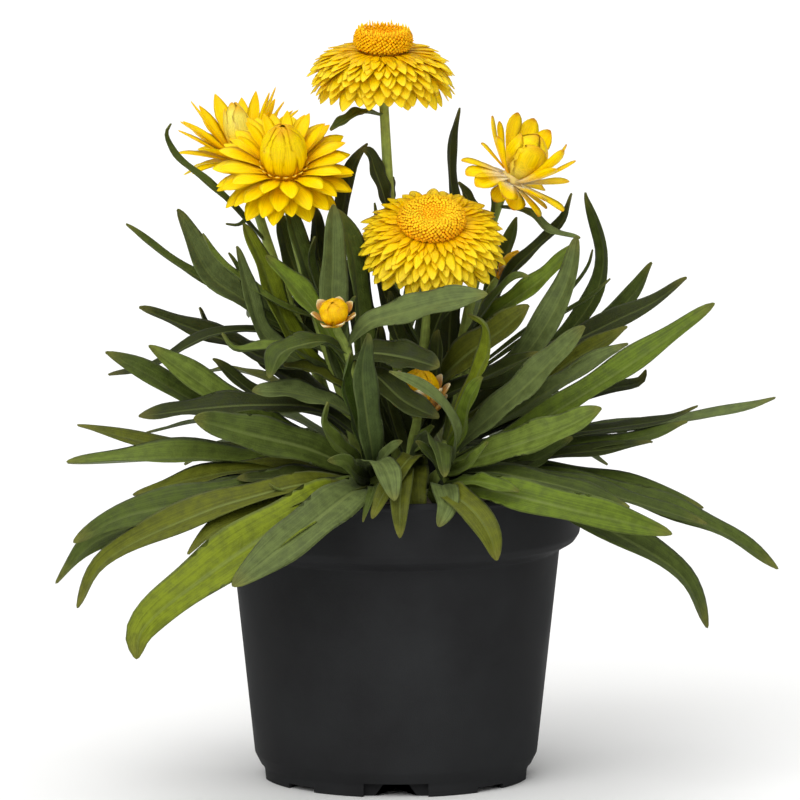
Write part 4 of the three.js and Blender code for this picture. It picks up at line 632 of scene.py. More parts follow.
# A leaf's solid is bent in depth until it is clear of its neighbours: by one of these steps at the
# tip, forwards or back, which grows from the root as the share of its points to one of these powers
STEPS_CLEAR = [0, 1.2, 2.4, 3.6, 5, 6.5, 8, 10, 12, 15, 18]
BEND_POWERS = (1.0, 0.3)
TIP_MATCH = 0.1
FAR_CORNER = 1


def fitted_blade(row, stem, corners):
    """The leaf bent as its solid is: the step and power whose corners lie nearest to corners of the
    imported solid, by the mean of the distances, each cut off at FAR_CORNER. If a step puts the tip
    within TIP_MATCH of a corner, only the step that puts it nearest is tried."""
    best, least = None, np.inf
    steps = [0] + [sign * step for step in STEPS_CLEAR[1:] for sign in (1, -1)]
    across, up, depth = row[-1]
    tips = seen([[across, up, depth + step] for step in steps])
    reach = np.array([np.min(np.linalg.norm(corners - place, axis=1)) for place in tips])
    order = np.argsort(reach)
    if reach[order[0]] < TIP_MATCH:
        order = order[:1]
    for i in order:
        for power in BEND_POWERS:
            blade = Blade(row, stem, steps[i], power)
            off = np.linalg.norm(blade.corners()[:, None] - corners[None], axis=2).min(axis=1)
            far = np.minimum(off, FAR_CORNER).mean()
            if far < least - 1e-6:
                best, least = blade, far
    return best


# Finishes

def node(tree, kind, inputs=None, **settings):
    """A node with its settings, each input either joined to another node's output or given a value."""
    made = tree.nodes.new(kind)
    for key, value in settings.items():
        setattr(made, key, value)
    for key, value in (inputs or {}).items():
        if isinstance(value, bpy.types.NodeSocket):
            tree.links.new(value, made.inputs[key])
        else:
            made.inputs[key].default_value = value
    return made


def effect(name, inputs, outputs):
    """An empty node group with its named sockets, each [name, kind, value] or [name, kind]."""
    tree = bpy.data.node_groups.new(name, "ShaderNodeTree")
    for label, kind, *value in inputs:
        socket = tree.interface.new_socket(label, in_out="INPUT", socket_type=kind)
        if value:
            socket.default_value = value[0]
    for label, kind in outputs:
        tree.interface.new_socket(label, in_out="OUTPUT", socket_type=kind)
    return tree, node(tree, "NodeGroupInput").outputs, node(tree, "NodeGroupOutput")


def spread_noise(tree, result, **inputs):
    """Ends a group with noise, whose middle values are spread out to a mask from 0 to 1."""
    noise = node(tree, "ShaderNodeTexNoise", inputs)
    inputs = {"Value": noise.outputs[0], "From Min": 0.3, "From Max": 0.7}
    tree.links.new(node(tree, "ShaderNodeMapRange", inputs).outputs[0], result.inputs["Mask"])
    return tree


def speckle_effect():
    """Soft spots in space."""
    tree, given, result = effect(
        "speckle",
        [("Place", "NodeSocketVector"), ("Scale", "NodeSocketFloat", 200.0),
         ("Detail", "NodeSocketFloat", 3.0)],
        [("Mask", "NodeSocketFloat")],
    )
    return spread_noise(tree, result, Vector=given["Place"], Scale=given["Scale"], Detail=given["Detail"])


def streak_effect():
    """Fine lines that run along a leaf or a bract: noise that changes fast across and slowly along,
    moved by the tone so that no two blades are alike."""
    tree, given, result = effect(
        "streaks",
        [("Across", "NodeSocketFloat"), ("Along", "NodeSocketFloat"), ("Tone", "NodeSocketColor"),
         ("Lines", "NodeSocketFloat", 12.0)],
        [("Mask", "NodeSocketFloat")],
    )
    wide = node(tree, "ShaderNodeMath", {0: given["Across"], 1: given["Lines"]}, operation="MULTIPLY")
    shift = node(tree, "ShaderNodeMath", {0: given["Tone"], 1: 97.0}, operation="MULTIPLY")
    place = node(tree, "ShaderNodeCombineXYZ", {0: wide.outputs[0], 1: given["Along"], 2: shift.outputs[0]})
    return spread_noise(tree, result, Vector=place.outputs[0], Scale=1.6, Detail=3.0)


SPECKLE = speckle_effect()
STREAKS = streak_effect()


class Finish:
    """A material with its shader, and short ways to work out masks, mixes and relief for it."""

    def __init__(self, name, **sockets):
        self.material = bpy.data.materials.new(name)
        self.material.use_nodes = True
        self.tree = self.material.node_tree
        self.shader = self.tree.nodes["Principled BSDF"]
        for key, value in sockets.items():
            self.shader.inputs[key.replace("_", " ")].default_value = value
        self.place = node(self.tree, "ShaderNodeTexCoord").outputs["Object"]

    def read(self, name, output="Fac"):
        """An attribute of the corners."""
        return node(self.tree, "ShaderNodeAttribute", attribute_name=name).outputs[output]

    def math(self, operation, one, other=0.0):
        """One value worked out from one or two."""
        return node(self.tree, "ShaderNodeMath", {0: one, 1: other}, operation=operation).outputs[0]

    def ramp(self, value, low, high, start=0.0, end=1.0):
        """A value turned from low .. high into start .. end, softly at both ends."""
        inputs = {"Value": value, "From Min": low, "From Max": high, "To Min": start, "To Max": end}
        return node(self.tree, "ShaderNodeMapRange", inputs, interpolation_type="SMOOTHSTEP").outputs[0]

    def speckle(self, scale, detail=3.0):
        """A mask of soft spots."""
        inputs = {"Place": self.place, "Scale": scale, "Detail": detail}
        return node(self.tree, "ShaderNodeGroup", inputs, node_tree=SPECKLE).outputs["Mask"]

    def streaks(self, across, along, tone, lines):
        """A mask of fine lines."""
        inputs = {"Across": across, "Along": along, "Tone": tone, "Lines": lines}
        return node(self.tree, "ShaderNodeGroup", inputs, node_tree=STREAKS).outputs["Mask"]

    def mix(self, share, one, other, way="MIX"):
        """Two colours mixed, the share being of the second."""
        inputs = {0: share, 6: one, 7: other}
        return node(self.tree, "ShaderNodeMix", inputs, data_type="RGBA", blend_type=way).outputs[2]

    def wear(self, colour=None, roughness=None, height=None, strength=0.3, distance=0.0003):
        """The material, once its colour, roughness and relief are joined to the shader."""
        links = self.tree.links
        if colour:
            links.new(colour, self.shader.inputs["Base Color"])
        if roughness:
            links.new(roughness, self.shader.inputs["Roughness"])
        if height:
            inputs = {"Height": height, "Strength": strength, "Distance": distance}
            bump = node(self.tree, "ShaderNodeBump", inputs)
            links.new(bump.outputs["Normal"], self.shader.inputs["Normal"])
        return self.material


def full(code):
    """A tone with full cover, for a colour socket."""
    return (*rgb(code), 1.0)


def leaf_green():
    """Leaf tone, mottled, with a pale rib down the middle, pale edges, fine streaks and a grey down."""
    finish = Finish("leaf_green", Sheen_Weight=0.03, Sheen_Roughness=0.4, Specular_IOR_Level=0.14)
    tone = finish.read("tone", "Color")
    across, along = finish.read("across"), finish.read("along")
    off = finish.math("ABSOLUTE", across)
    spots = finish.speckle(330.0)
    lines = finish.streaks(across, along, tone, 9.0)
    light = finish.ramp(finish.math("ADD", spots, lines), 0.2, 1.8, 0.72, 1.28)
    colour = finish.mix(1.0, tone, light, "MULTIPLY")
    near_rib = finish.ramp(off, 0.03, 0.13, 0.6, 0.0)
    rib = finish.math("MULTIPLY", near_rib, finish.ramp(along, 0.2, 1.0, 1.0, 0.3))
    colour = finish.mix(rib, colour, full("#6f7b42"))
    edge = finish.ramp(off, 0.84, 1.0, 0.0, 0.32)
    colour = finish.mix(edge, colour, full("#727d4a"))
    rough = finish.ramp(spots, 0.0, 1.0, 0.46, 0.66)
    height = finish.math("ADD", finish.math("MULTIPLY", lines, 0.6), finish.speckle(1500.0))
    return finish.wear(colour, rough, height, 0.35, 0.00025)


def stem_green():
    """Stem green, paler and duller than the leaves, with long streaks and a fine down."""
    finish = Finish("stem_green", Sheen_Weight=0.04, Sheen_Roughness=0.4, Specular_IOR_Level=0.15)
    tone = finish.read("tone", "Color")
    spots = finish.speckle(420.0)
    lines = finish.streaks(finish.read("across"), finish.read("along"), tone, 7.0)
    light = finish.ramp(finish.math("ADD", spots, lines), 0.2, 1.8, 0.75, 1.25)
    colour = finish.mix(1.0, tone, light, "MULTIPLY")
    return finish.wear(colour, finish.ramp(spots, 0, 1, 0.5, 0.7), lines, 0.4, 0.0003)


def papery(name, roughness):
    """Bract tone with fine long streaks, deeper edges, a satin gloss and light that passes in."""
    finish = Finish(name, Subsurface_Weight=0.3, Subsurface_Scale=0.003, Specular_IOR_Level=0.12)
    finish.shader.inputs["Subsurface Radius"].default_value = (1.0, 0.6, 0.1)
    tone = finish.read("tone", "Color")
    lines = finish.streaks(finish.read("across"), finish.read("along"), tone, 6.0)
    light = finish.ramp(lines, 0.0, 1.0, 0.86, 1.1)
    colour = finish.mix(1.0, tone, light, "MULTIPLY")
    edge = finish.ramp(finish.math("ABSOLUTE", finish.read("across")), 0.7, 1.0, 0.0, 0.26)
    colour = finish.mix(edge, colour, full("#d88a08"))
    rough = finish.ramp(finish.speckle(600.0), 0.0, 1.0, roughness - 0.07, roughness + 0.1)
    return finish.wear(colour, rough, lines, 0.3, 0.0002)


def floret_orange():
    """Floret tone with fine grain."""
    finish = Finish("floret_orange", Subsurface_Weight=0.15, Subsurface_Scale=0.001,
                    Specular_IOR_Level=0.12)
    tone = finish.read("tone", "Color")
    grain = finish.speckle(2500.0)
    colour = finish.mix(1.0, tone, finish.ramp(grain, 0.0, 1.0, 0.85, 1.12), "MULTIPLY")
    return finish.wear(colour, finish.ramp(grain, 0.0, 1.0, 0.45, 0.65), grain, 0.3, 0.0002)


def pot_black():
    """Black moulded plastic with a dull skin, faint flow marks and a little dust in soft patches."""
    finish = Finish("pot_black", Specular_IOR_Level=0.03)
    flow = finish.speckle(35.0, 5.0)
    grain = finish.speckle(2200.0)
    colour = finish.mix(flow, full("#222223"), full("#2a2b2c"))
    rough = finish.ramp(flow, 0.0, 1.0, 0.5, 0.66)
    return finish.wear(colour, rough, grain, 0.12, 0.00015)


def damp_peat():
    """Dark peat: coarse and fine spots of brown and near black, with a rough relief."""
    finish = Finish("damp_peat")
    coarse = finish.speckle(260.0, 5.0)
    fine = finish.speckle(1300.0, 4.0)
    colour = finish.mix(coarse, full("#17100b"), full("#3d2b1d"))
    colour = finish.mix(finish.ramp(fine, 0.62, 0.9), colour, full("#6b5238"))
    height = finish.math("ADD", coarse, finish.math("MULTIPLY", fine, 0.5))
    return finish.wear(colour, finish.ramp(fine, 0.0, 1.0, 0.75, 0.98), height, 0.9, 0.0012)


# Leaf tones, by the words of the table. Three words give lighter and darker copies of one leaf green
# for how lit or shaded each leaf is: painted light and painted shade. The grey word is partly the
# leaves' own down and partly painted sheen; the other words are hues.
LEAF_TONES = {
    "bright": "#55661a", "light": "#5b6a27", "mid": "#3f4b19", "green": "#425618", "grey": "#566233",
    "blue": "#445228", "olive": "#505512", "yellow": "#626d13", "dark": "#2b320d",
}
STEM_TONE = "#8a9a48"
LEAF_BACK_TONE = "#5a6540"
LEAF_TIP_TONE = "#66632b"

# Across a leaf: the upper face from edge to edge, then the lower face back
UPPER = np.array([-1, -0.78, -0.45, -0.14, 0, 0.14, 0.45, 0.78, 1])
LOWER = np.array([0.7, 0.34, 0.1, -0.1, -0.34, -0.7])
LEAF_ACROSS = np.concatenate([UPPER, LOWER])
LEAF_UNDER = np.arange(len(LEAF_ACROSS)) >= len(UPPER)
LEAF_SHARES = 1 - (1 - np.linspace(0, 0.985, 28)) ** 1.25
LEAF_THICKNESS = 0.3
ARM_POWER = 1.35
PILLOW = 0.06
WAVE = 0.13
GROOVE = 0.14
GROOVE_WIDTH = 0.12
RIB_WIDTH = 0.15
STEM_SIDES = 12
STEM_RIDGE = 0.05
STEM_RING_STEP = 2
STREAK_LENGTH = 20


def leaf_rings(blades, rng):
    """Rings of leaves: a V whose arms rise as |x|^ARM_POWER, each half pillowed as sin(pi |x|), edges
    that wave along the leaf as x^2 times a sine, a groove over the rib as exp(-(x / width)^2), and a
    thin lower face on which the rib stands out in the same way."""
    s = LEAF_SHARES[:, None]
    x = LEAF_ACROSS[None]
    off = np.abs(x)
    rings = []
    for blade in blades:
        centre, side, face, half = blade.sections(LEAF_SHARES)
        half = half[:, None]
        waves, start, lean = rng.uniform(2.2, 3.6), rng.uniform(0, 2 * np.pi), rng.uniform(0.8, 2.2)
        height = half * blade.fold * off**ARM_POWER + PILLOW * half * np.sin(np.pi * off)
        height += WAVE * half * off**2 * np.sin(2 * np.pi * waves * s + start + lean * np.sign(x))
        height -= GROOVE * np.exp(-((x / GROOVE_WIDTH) ** 2))
        rib = LEAF_KEEL * 0.6 * (1 - 0.5 * s) * np.exp(-((x / RIB_WIDTH) ** 2))
        height -= LEAF_UNDER * (LEAF_THICKNESS * (1 - off**4) + rib)
        across = (half * x)[..., None] * side[:, None]
        rings.append(centre[:, None] + across + height[..., None] * face[:, None])
    return np.array(rings)


def leaf_tones(words, rng):
    """Each leaf's tone from its word (for some words partly painted light, painted shade and painted
    sheen), lighter or darker by chance, with a paler lower face, foot and tip.
    """
    base = np.array([rgb(LEAF_TONES[word]) for word in words]) * rng.uniform(0.86, 1.14, (len(words), 1))
    tones = np.broadcast_to(base[:, None, None], (len(words), len(LEAF_SHARES), len(LEAF_ACROSS), 3))
    tones = blend(tones, rgb(LEAF_BACK_TONE), 0.4 * LEAF_UNDER[None, None])
    s = LEAF_SHARES[None, :, None]
    tones = blend(tones, rgb(LEAF_BACK_TONE), 0.35 * (1 - smooth(0, 0.2, s)))
    return blend(tones, rgb(LEAF_TIP_TONE), 0.6 * smooth(0.9, 1.0, s))


def stem_rings(line, radii):
    """Rings round a stem's line, about STEM_RING_STEP apart: the radius runs evenly from root to end,
    times 1 + STEM_RIDGE cos(3 angle) for three soft ridges up the stem."""
    shares = np.linspace(0, 1, int(line.length / STEM_RING_STEP) + 2)
    along = line.tangents(shares)
    side = np.zeros_like(along)
    last = np.array([1.0, 0, 0])
    for i, way in enumerate(along):
        last = unit(last - way * (last @ way))
        side[i] = last
    turned = np.cross(along, side)
    angle = turns(STEM_SIDES)
    radius = radii[0] + (radii[1] - radii[0]) * shares
    radius = radius[:, None] * (1 + STEM_RIDGE * np.cos(3 * angle))
    ring = side[:, None] * np.cos(angle)[:, None] + turned[:, None] * np.sin(angle)[:, None]
    return line.at(shares)[:, None] + radius[..., None] * ring, np.cos(angle), shares


def ball_rings(foot, radii, height):
    """Rings round an upright egg: radius and height follow sine and cosine from pole to pole."""
    rise = np.linspace(0, np.pi, 10)[1:-1, None]
    angle = turns(STEM_SIDES)
    out = radii[0] * np.sin(rise)
    z = height - radii[1] * np.cos(rise) + 0 * angle
    return np.stack([foot[0] + out * np.cos(angle), foot[1] + out * np.sin(angle), z], axis=-1)


def leafy_stem(name, seed, materials):
    """One stem with its leaves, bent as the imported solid's are."""
    rng = np.random.default_rng(seed)
    row = LEAFY_STEMS[name]
    solid = frame["nodes"][name].data
    corners = np.empty(len(solid.vertices) * 3)
    solid.vertices.foreach_get("co", corners)
    corners = corners.reshape(-1, 3) / MM
    line = stem_line(name)
    spaced = line.at(np.linspace(0, 1, 161))
    blades = [fitted_blade(leaf, spaced, corners) for leaf in row["leaves"]]
    growth = Growth()
    rings = leaf_rings(blades, rng)
    tones = leaf_tones([leaf[0] for leaf in row["leaves"]], rng)
    tips = np.array([blade.line.at([1])[0] for blade in blades])
    growth.shoots(rings, rings[:, 0].mean(axis=1), tips, tones, LEAF_ACROSS, LEAF_SHARES[None, :, None])
    tube, across, along = stem_rings(line, row["radii"])
    ends = line.at([0, 1])
    stem_tone = rgb(STEM_TONE)
    along = along[None, :, None] * line.length / STREAK_LENGTH
    growth.shoots(tube[None], ends[:1], ends[1:], stem_tone, across, along, 1)
    if "crown" in row:
        radius, length, height = row["crown"]
        ball = ball_rings(ends[0], (radius, length / 2), height)
        poles = np.array([[ends[0][0], ends[0][1], height + rise * length / 2] for rise in (-1, 1)])
        growth.shoots(ball[None], poles[:1], poles[1:], stem_tone, across, np.zeros((1, 8, 1)), 1)
    return growth.piece(name + "_grown", "leaf", [name], *materials)


# Heads

BRACT_UPPER = np.array([-1, -0.5, 0, 0.5, 1])
BRACT_LOWER = np.array([0.55, 0, -0.55])
BRACT_ACROSS = np.concatenate([BRACT_UPPER, BRACT_LOWER])
BRACT_UNDER = np.arange(len(BRACT_ACROSS)) >= len(BRACT_UPPER)
BRACT_SHARES = np.array([0, 0.18, 0.36, 0.52, 0.66, 0.79, 0.9, 0.97])
BRACT_WIDE_AT = 0.66
BRACT_THICKNESS = 0.32
YELLOW = rgb("#fed200")
DEEP_YELLOW = rgb("#fbba00")
GOLD = rgb("#e3a010")
LEMON = rgb("#f9e25a")
TAN = rgb("#c08a45")
PALE_FOOT = rgb("#f3e2b4")
PALE_YELLOW = rgb("#f3dc8c")
BROWN_TIP = rgb("#b8701c")
ORANGE = rgb("#f6ab02")
LIGHT_ORANGE = rgb("#fcc106")
SPIKE_YELLOW = rgb("#fccb1c")


def head_frame(name, lift=0.0):
    """The place above a stem's end and the three ways of its head: across, back and along its axis."""
    z = unit(np.array(HEAD_AXES[name], float))
    x = unit(np.cross([0, 1, 0], z))
    place = stem_line(name).at([1])[0] + z * (GAP + lift)
    return place, np.stack([x, np.cross(z, x), z])


def bract_rings(head, table, cup, blunt, wrap, rng):
    """Rings of bracts. Each row of the table is an angle round the axis, then root, bend and tip as
    radius and height, and a width. A bract follows the parabola of its three places. Its half
    width grows from a narrow foot to BRACT_WIDE_AT and falls to the tip as (1 - u^a)^b, and its
    edges rise by cup times the square of the way across. With wrap, that share of the way across
    goes round the axis instead of straight aside. What isn't wrapped is twisted a little by chance,
    more towards the tip."""
    place, ways = head
    angle, width = table[:, 0], table[:, 7]
    root, bend, tip = (table[:, k:k + 2][:, None] for k in (1, 3, 5))
    s = BRACT_SHARES[None, :, None]
    line = (1 - s) ** 2 * root + 2 * s * (1 - s) * bend + s**2 * tip
    run = unit(2 * (1 - s) * (bend - root) + 2 * s * (tip - bend))
    share = BRACT_SHARES
    rise = 0.42 + 0.58 * smooth(0, BRACT_WIDE_AT, share)
    past = np.clip((share - BRACT_WIDE_AT) / (1 - BRACT_WIDE_AT), 0, 1)
    fall = (1 - past ** (1.3 + 0.9 * blunt)) ** (1 - 0.5 * blunt)
    half = (width[:, None] / 2 * rise * fall)[..., None]
    x = BRACT_ACROSS
    aside = half * x
    turned = angle[:, None, None] - wrap * aside / np.maximum(line[..., :1], half)
    radial = np.cos(turned)[..., None] * ways[0] + np.sin(turned)[..., None] * ways[1]
    side = np.sin(turned)[..., None] * ways[0] - np.cos(turned)[..., None] * ways[1]
    face = -run[..., 1:, None] * radial + run[..., :1, None] * ways[2]
    twist = (1 - wrap) * rng.uniform(-0.25, 0.25, len(table))[:, None, None, None] * s[..., None]
    side, face = side * np.cos(twist) + face * np.sin(twist), face * np.cos(twist) - side * np.sin(twist)
    height = cup * half * x**2 - BRACT_UNDER * BRACT_THICKNESS * (1 - x**2)
    rings = (place + line[..., :1, None] * radial + line[..., 1:, None] * ways[2]
             + (1 - wrap) * aside[..., None] * side + height[..., None] * face)
    outward = np.cos(angle)[:, None] * ways[0] + np.sin(angle)[:, None] * ways[1]
    ends = place + tip[:, 0, :1] * outward + tip[:, 0, 1:] * ways[2]
    return rings, rings[:, 0].mean(axis=1), ends


def bract_tones(many, rng, foot, middle, tip, tip_from=0.86, spread=0.06):
    """Bract tones along the length, foot to middle to tip, each bract a little lighter or darker."""
    s = BRACT_SHARES[None, :, None]
    # A foot more orange than the middle is partly the bracts' own golden base and partly painted shade: the
    # warm orange that light bounced between crowded bracts gives their feet.
    tone = blend(foot, middle, smooth(0.05, 0.5, s))
    tone = blend(tone, tip, smooth(tip_from - 0.12, 1.0, s))
    return tone * rng.uniform(1 - spread, 1 + spread, (many, 1, 1, 1))


def add_bracts(growth, head, table, rng, cup=0.22, blunt=0.3, wrap=0.0, wider=1.0, foot=DEEP_YELLOW,
               middle=YELLOW, tip=YELLOW, tip_from=0.86):
    """Adds the bracts of a table, made wider by a factor, with tones for foot, middle and tip."""
    table = np.array(table, float)
    table[:, 7] *= wider
    rings, base, ends = bract_rings(head, table, cup, blunt, wrap, rng)
    tones = bract_tones(len(table), rng, foot, middle, tip, tip_from)
    growth.shoots(rings, base, ends, tones, BRACT_ACROSS, BRACT_SHARES[None, :, None])


def ruled_bracts(count, rows, seed, uneven=0.12):
    """Bracts by rule, layer by layer. A row is root radius, root height, length, the rise in degrees
    at the root and at the tip, and width; every other layer is turned by half a step."""
    rng = np.random.default_rng(seed)
    step = 2 * math.pi / count
    table = []
    for k, (radius, height, length, rise_root, rise_tip, width) in enumerate(rows):
        for j in range(count):
            a = math.radians(rise_root + rng.uniform(-4, 4))
            b = math.radians(rise_tip + rng.uniform(-7, 7))
            bend = (radius + length / 2 * math.cos(a), height + length / 2 * math.sin(a))
            angle = (k % 2) * step / 2 + (j + 0.5 + uneven * rng.uniform(-1, 1)) * step
            far = length / 2 * (1 + 0.12 * rng.uniform(-1, 1))
            tip = (bend[0] + far * math.cos(b), bend[1] + far * math.sin(b))
            table.append([angle, radius, height, *bend, *tip, width * rng.uniform(0.92, 1.08)])
    return np.array(table)


def rows_at(rows, marks):
    """Rows of bracts read off between the rows of a table, row 0 being the lowest."""
    rows = np.array(rows, float)
    return np.stack([np.interp(marks, np.arange(len(rows)), column) for column in rows.T], axis=1)


def placed_bracts(head, rows):
    """Bracts one by one. A row is root radius, root height and bow, then tips as they show from the
    front, [across, up, depth, width]."""
    place, ways = head
    table = []
    for radius, height, bow, *tips in rows:
        for u, v, depth, width in tips:
            x, y, z = ways @ (seen([[u, v, depth]])[0] - place)
            tip = (math.hypot(x, y), z)
            length = math.hypot(tip[0] - radius, tip[1] - height)
            bend = ((radius + tip[0]) / 2 + bow * length, (height + tip[1]) / 2 + abs(bow) * length * 0.3)
            table.append([math.atan2(y, x), radius, height, *bend, *tip, width])
    return np.array(table)


SLOPE_STEP = 0.3
SCALE_OFF = 0.3


def profile_place(profile, share):
    """The place and the outward way at a share of a profile of [radius, height] pairs."""
    profile = np.asarray(profile, float)
    run = np.concatenate([[0], np.cumsum(np.linalg.norm(np.diff(profile, axis=0), axis=1))])
    at = np.asarray(share) * run[-1]
    near = [np.interp(at + step, run, profile[:, k]) for step in (-SLOPE_STEP, SLOPE_STEP) for k in (0, 1)]
    place = np.stack([np.interp(at, run, profile[:, 0]), np.interp(at, run, profile[:, 1])], axis=-1)
    way = unit(np.stack([near[2] - near[0], near[3] - near[1]], axis=-1))
    return place, np.stack([way[..., 1], -way[..., 0]], axis=-1)


def scale_table(profile, rows, seed):
    """Closed bracts that overlap like tiles on a turned form, each bent so that its middle lies just
    off the form. A row is the share of the profile at the root and at the tip, how many stand
    round, their width, and how far the tips stand off."""
    rng = np.random.default_rng(seed)
    table = []
    for k, (low, high, many, width, off) in enumerate(rows):
        (root, bend, tip), (_, out, way) = profile_place(profile, [low, (low + high) / 2, high])
        root = root - np.array([SCALE_OFF, 0])
        bend = 2 * (bend + out * SCALE_OFF) - (root + tip) / 2
        for j in range(many):
            angle = (j + (k % 2) / 2 + rng.uniform(-0.1, 0.1)) * 2 * math.pi / many
            end = tip + way * (off + rng.uniform(0, 0.25))
            table.append([angle, *root, *bend, *end, width * rng.uniform(0.93, 1.07)])
    return table


def turned_body(growth, head, profile, tone, sides=24):
    """A turned body from [radius, height] pairs, the first and the last on the axis."""
    place, ways = head
    profile = np.asarray(profile, float)
    angle = turns(sides)
    out = np.cos(angle)[:, None] * ways[0] + np.sin(angle)[:, None] * ways[1]
    rings = place + profile[1:-1, :1, None] * out + (profile[1:-1, 1:] * ways[2])[:, None]
    ends = place + profile[[0, -1], 1:] * ways[2]
    growth.shoots(rings[None], ends[:1], ends[1:], tone, 0.0, 0.0)


GOLDEN_TURN = math.pi * (3 - math.sqrt(5))
FLORET_SIDES = 5
FLORET_LENGTH = 1.7
FLORET_SINK = 1.3
DISC_STEPS = 200


def add_florets(growth, head, profile, many, size, seed, rim_share, inner, outer, spike):
    """Florets packed on a disc by the golden turn, one to each equal share of its surface from the
    middle out. Each is a small tube with a flared mouth that points out and up; round rim_share of
    the way they are spikes."""
    rng = np.random.default_rng(seed)
    place, ways = head
    steps, outwards = profile_place(np.array(profile[::-1], float), np.linspace(0, 1, DISC_STEPS))
    outwards = -outwards
    area = np.cumsum(np.maximum(steps[:, 0], 0.05))
    pick = np.interp((np.arange(many) + 0.5) / many, area / area[-1], np.arange(DISC_STEPS))
    low = pick.astype(int)
    angle = np.arange(many) * GOLDEN_TURN
    angle = angle + rng.normal(0, 0.25 / np.sqrt(np.arange(many) + 4), many)
    spot = steps[low]
    way = outwards[low]
    radial = np.cos(angle)[:, None] * ways[0] + np.sin(angle)[:, None] * ways[1]
    grow = unit(way[:, :1] * radial + (way[:, 1:] + 0.9) * ways[2] + rng.normal(0, 0.16, (many, 3)))
    share = (np.arange(many) + 0.5) / many
    past_rim = smooth(rim_share + 0.02, rim_share + 0.1, share)
    rim = smooth(rim_share - 0.12, rim_share - 0.02, share) * (1 - past_rim)
    length = (FLORET_LENGTH + rng.uniform(-0.2, 0.2, many)) * (1 + 0.55 * rim)
    base = place + spot[:, :1] * radial + spot[:, 1:] * ways[2] - grow * FLORET_SINK
    aside = unit(np.cross(grow, rng.normal(0, 1, (many, 3))))
    turned = np.cross(grow, aside)
    turn = turns(FLORET_SIDES)
    ring = aside[:, None] * np.cos(turn)[:, None] + turned[:, None] * np.sin(turn)[:, None]
    size = size * (0.65 + 0.35 * smooth(0.05, 0.2, share))[:, None]
    radii = size * np.stack([0.3 + 0 * rim, 0.4 - 0.06 * rim, 0.58 - 0.4 * rim], axis=1)
    rises = np.stack([0 * length, 0.75 * length, length], axis=1)
    rings = (base[:, None, None] + rises[..., None, None] * grow[:, None, None]
             + radii[..., None, None] * ring[:, None])
    tips = base + grow * (length * (0.88 + 0.3 * rim))[:, None]
    tone = blend(inner, outer, smooth(0.2, 0.95, share)[:, None, None])
    tone = blend(tone, spike, rim[:, None, None])
    tone = tone * rng.uniform(0.86, 1.14, (many, 1, 1, 1))
    # Painted shade and painted light: each floret is darker towards its foot, where the florets crowd, and
    # a little lighter at its mouth.
    dark = np.array([0.75, 0.95, 1.08])[None, :, None, None]
    growth.shoots(rings, base, tips, tone * dark, 0.0, np.array([0, 0.7, 1])[None, :, None])


# The two open blooms. LAYERS is how many layers of bracts are read off between those of a solid.
LAYERS = 12
TOP_COUNT = 24
TOP_LAYERS = [
    [4.4, 2, 22, -5, -58, 6], [5.4, 3.2, 19.6, 1, -43, 5.2], [6.2, 4.4, 16.6, 4, -30, 4],
    [6.6, 5.4, 12.6, 4, -20, 3],
]
TOP_INNER = [6.9, 5.8, 8.2, 3, -16, 2.5]
TOP_HEIGHT = 6.4
TOP_DISC = [
    [0, 0], [7.9, 0], [8.7, 1.1], [8.9, 2.5], [8.6, 4], [8.2, 5], [7.4, 5.4], [6, 4.2], [3, 3.7], [0, 3.7],
]
FRONT_COUNT = 24
FRONT_LAYERS = [
    [4.4, 1.8, 21.6, -4, -50, 5.4], [5.6, 3, 19.2, 2, -38, 4.6], [6.4, 4.2, 16, 5, -26, 3.6],
    [7, 5.1, 11.4, 5, -16, 2.8],
]
FRONT_INNER = [7.4, 5.6, 7.4, 6, -12, 2.3]
FRONT_HEIGHT = 5.8
FRONT_DISC = [
    [0, 0], [9.6, 0], [10.3, 1.2], [9.9, 2.4], [8.6, 3.7], [7, 4.2], [5.2, 4], [3, 3.2], [0, 3.1],
]
# The half-open blooms: spreading bracts by rule or one by one, and the closed form in their middle
LEFT_COUNT = 13
LEFT_LAYERS = [
    [4.4, 1.8, 17.4, 0, -26, 5.8], [5.6, 3, 16.6, 14, -10, 5.6], [6.2, 4.2, 15.4, 32, 8, 5],
    [6, 5.4, 13.6, 60, 36, 4],
]
LEFT_CONE = [[6.1, 5.2], [6.9, 7], [7.2, 9.2], [6.9, 12], [6, 14.8], [4.4, 17.6], [2.2, 20], [0, 21.2]]
BACK_LEFT_COUNT = 9
BACK_LEFT_LAYERS = [
    [2.6, 1.9, 18, 16, -14, 4.6], [3, 3.1, 19.4, 36, 26, 4.2], [3.2, 4.4, 21.4, 58, 66, 3.8],
]
BACK_LEFT_BUD = [[2.8, 6], [3.5, 9.5], [3.8, 13.5], [3.4, 17.5], [2, 20.5], [0, 21.6]]
RIGHT_LAYERS = [
    [
        3, 1.9, 0.12,
        [30.5, 177.6, -2, 4.4], [33.5, 179, -13, 6.2], [36.3, 175, -9, 6], [46.5, 178, -13, 4.4],
        [44.4, 173, -11, 4.4], [46.9, 175.4, -3, 3], [30, 183, 14, 5], [38, 180, 17, 5.2], [46, 182, 14, 5],
    ],
    [
        3.4, 3.1, 0.14,
        [20.2, 190.5, 0, 4], [21.6, 186, -6, 5.6], [24.6, 182.5, -9, 5.4], [52, 174.6, -7, 5],
        [54, 184, 8, 4.4], [56, 190.5, 3, 3.6], [25, 189, 13, 4.6], [40, 190, 21, 5], [50, 188, -10, 4],
    ],
    [
        3.8, 4.6, 0.26,
        [30, 204.5, 6, 3.4], [32.2, 202.8, 13, 2.6], [38, 205.5, 12, 4.4], [43, 203.7, 16, 5],
        [48, 200, 11, 4.8], [53, 195.7, 4, 3], [52.2, 194, -5, 3.2], [32, 198, -8, 3.2], [26.5, 196, 4, 3],
    ],
]
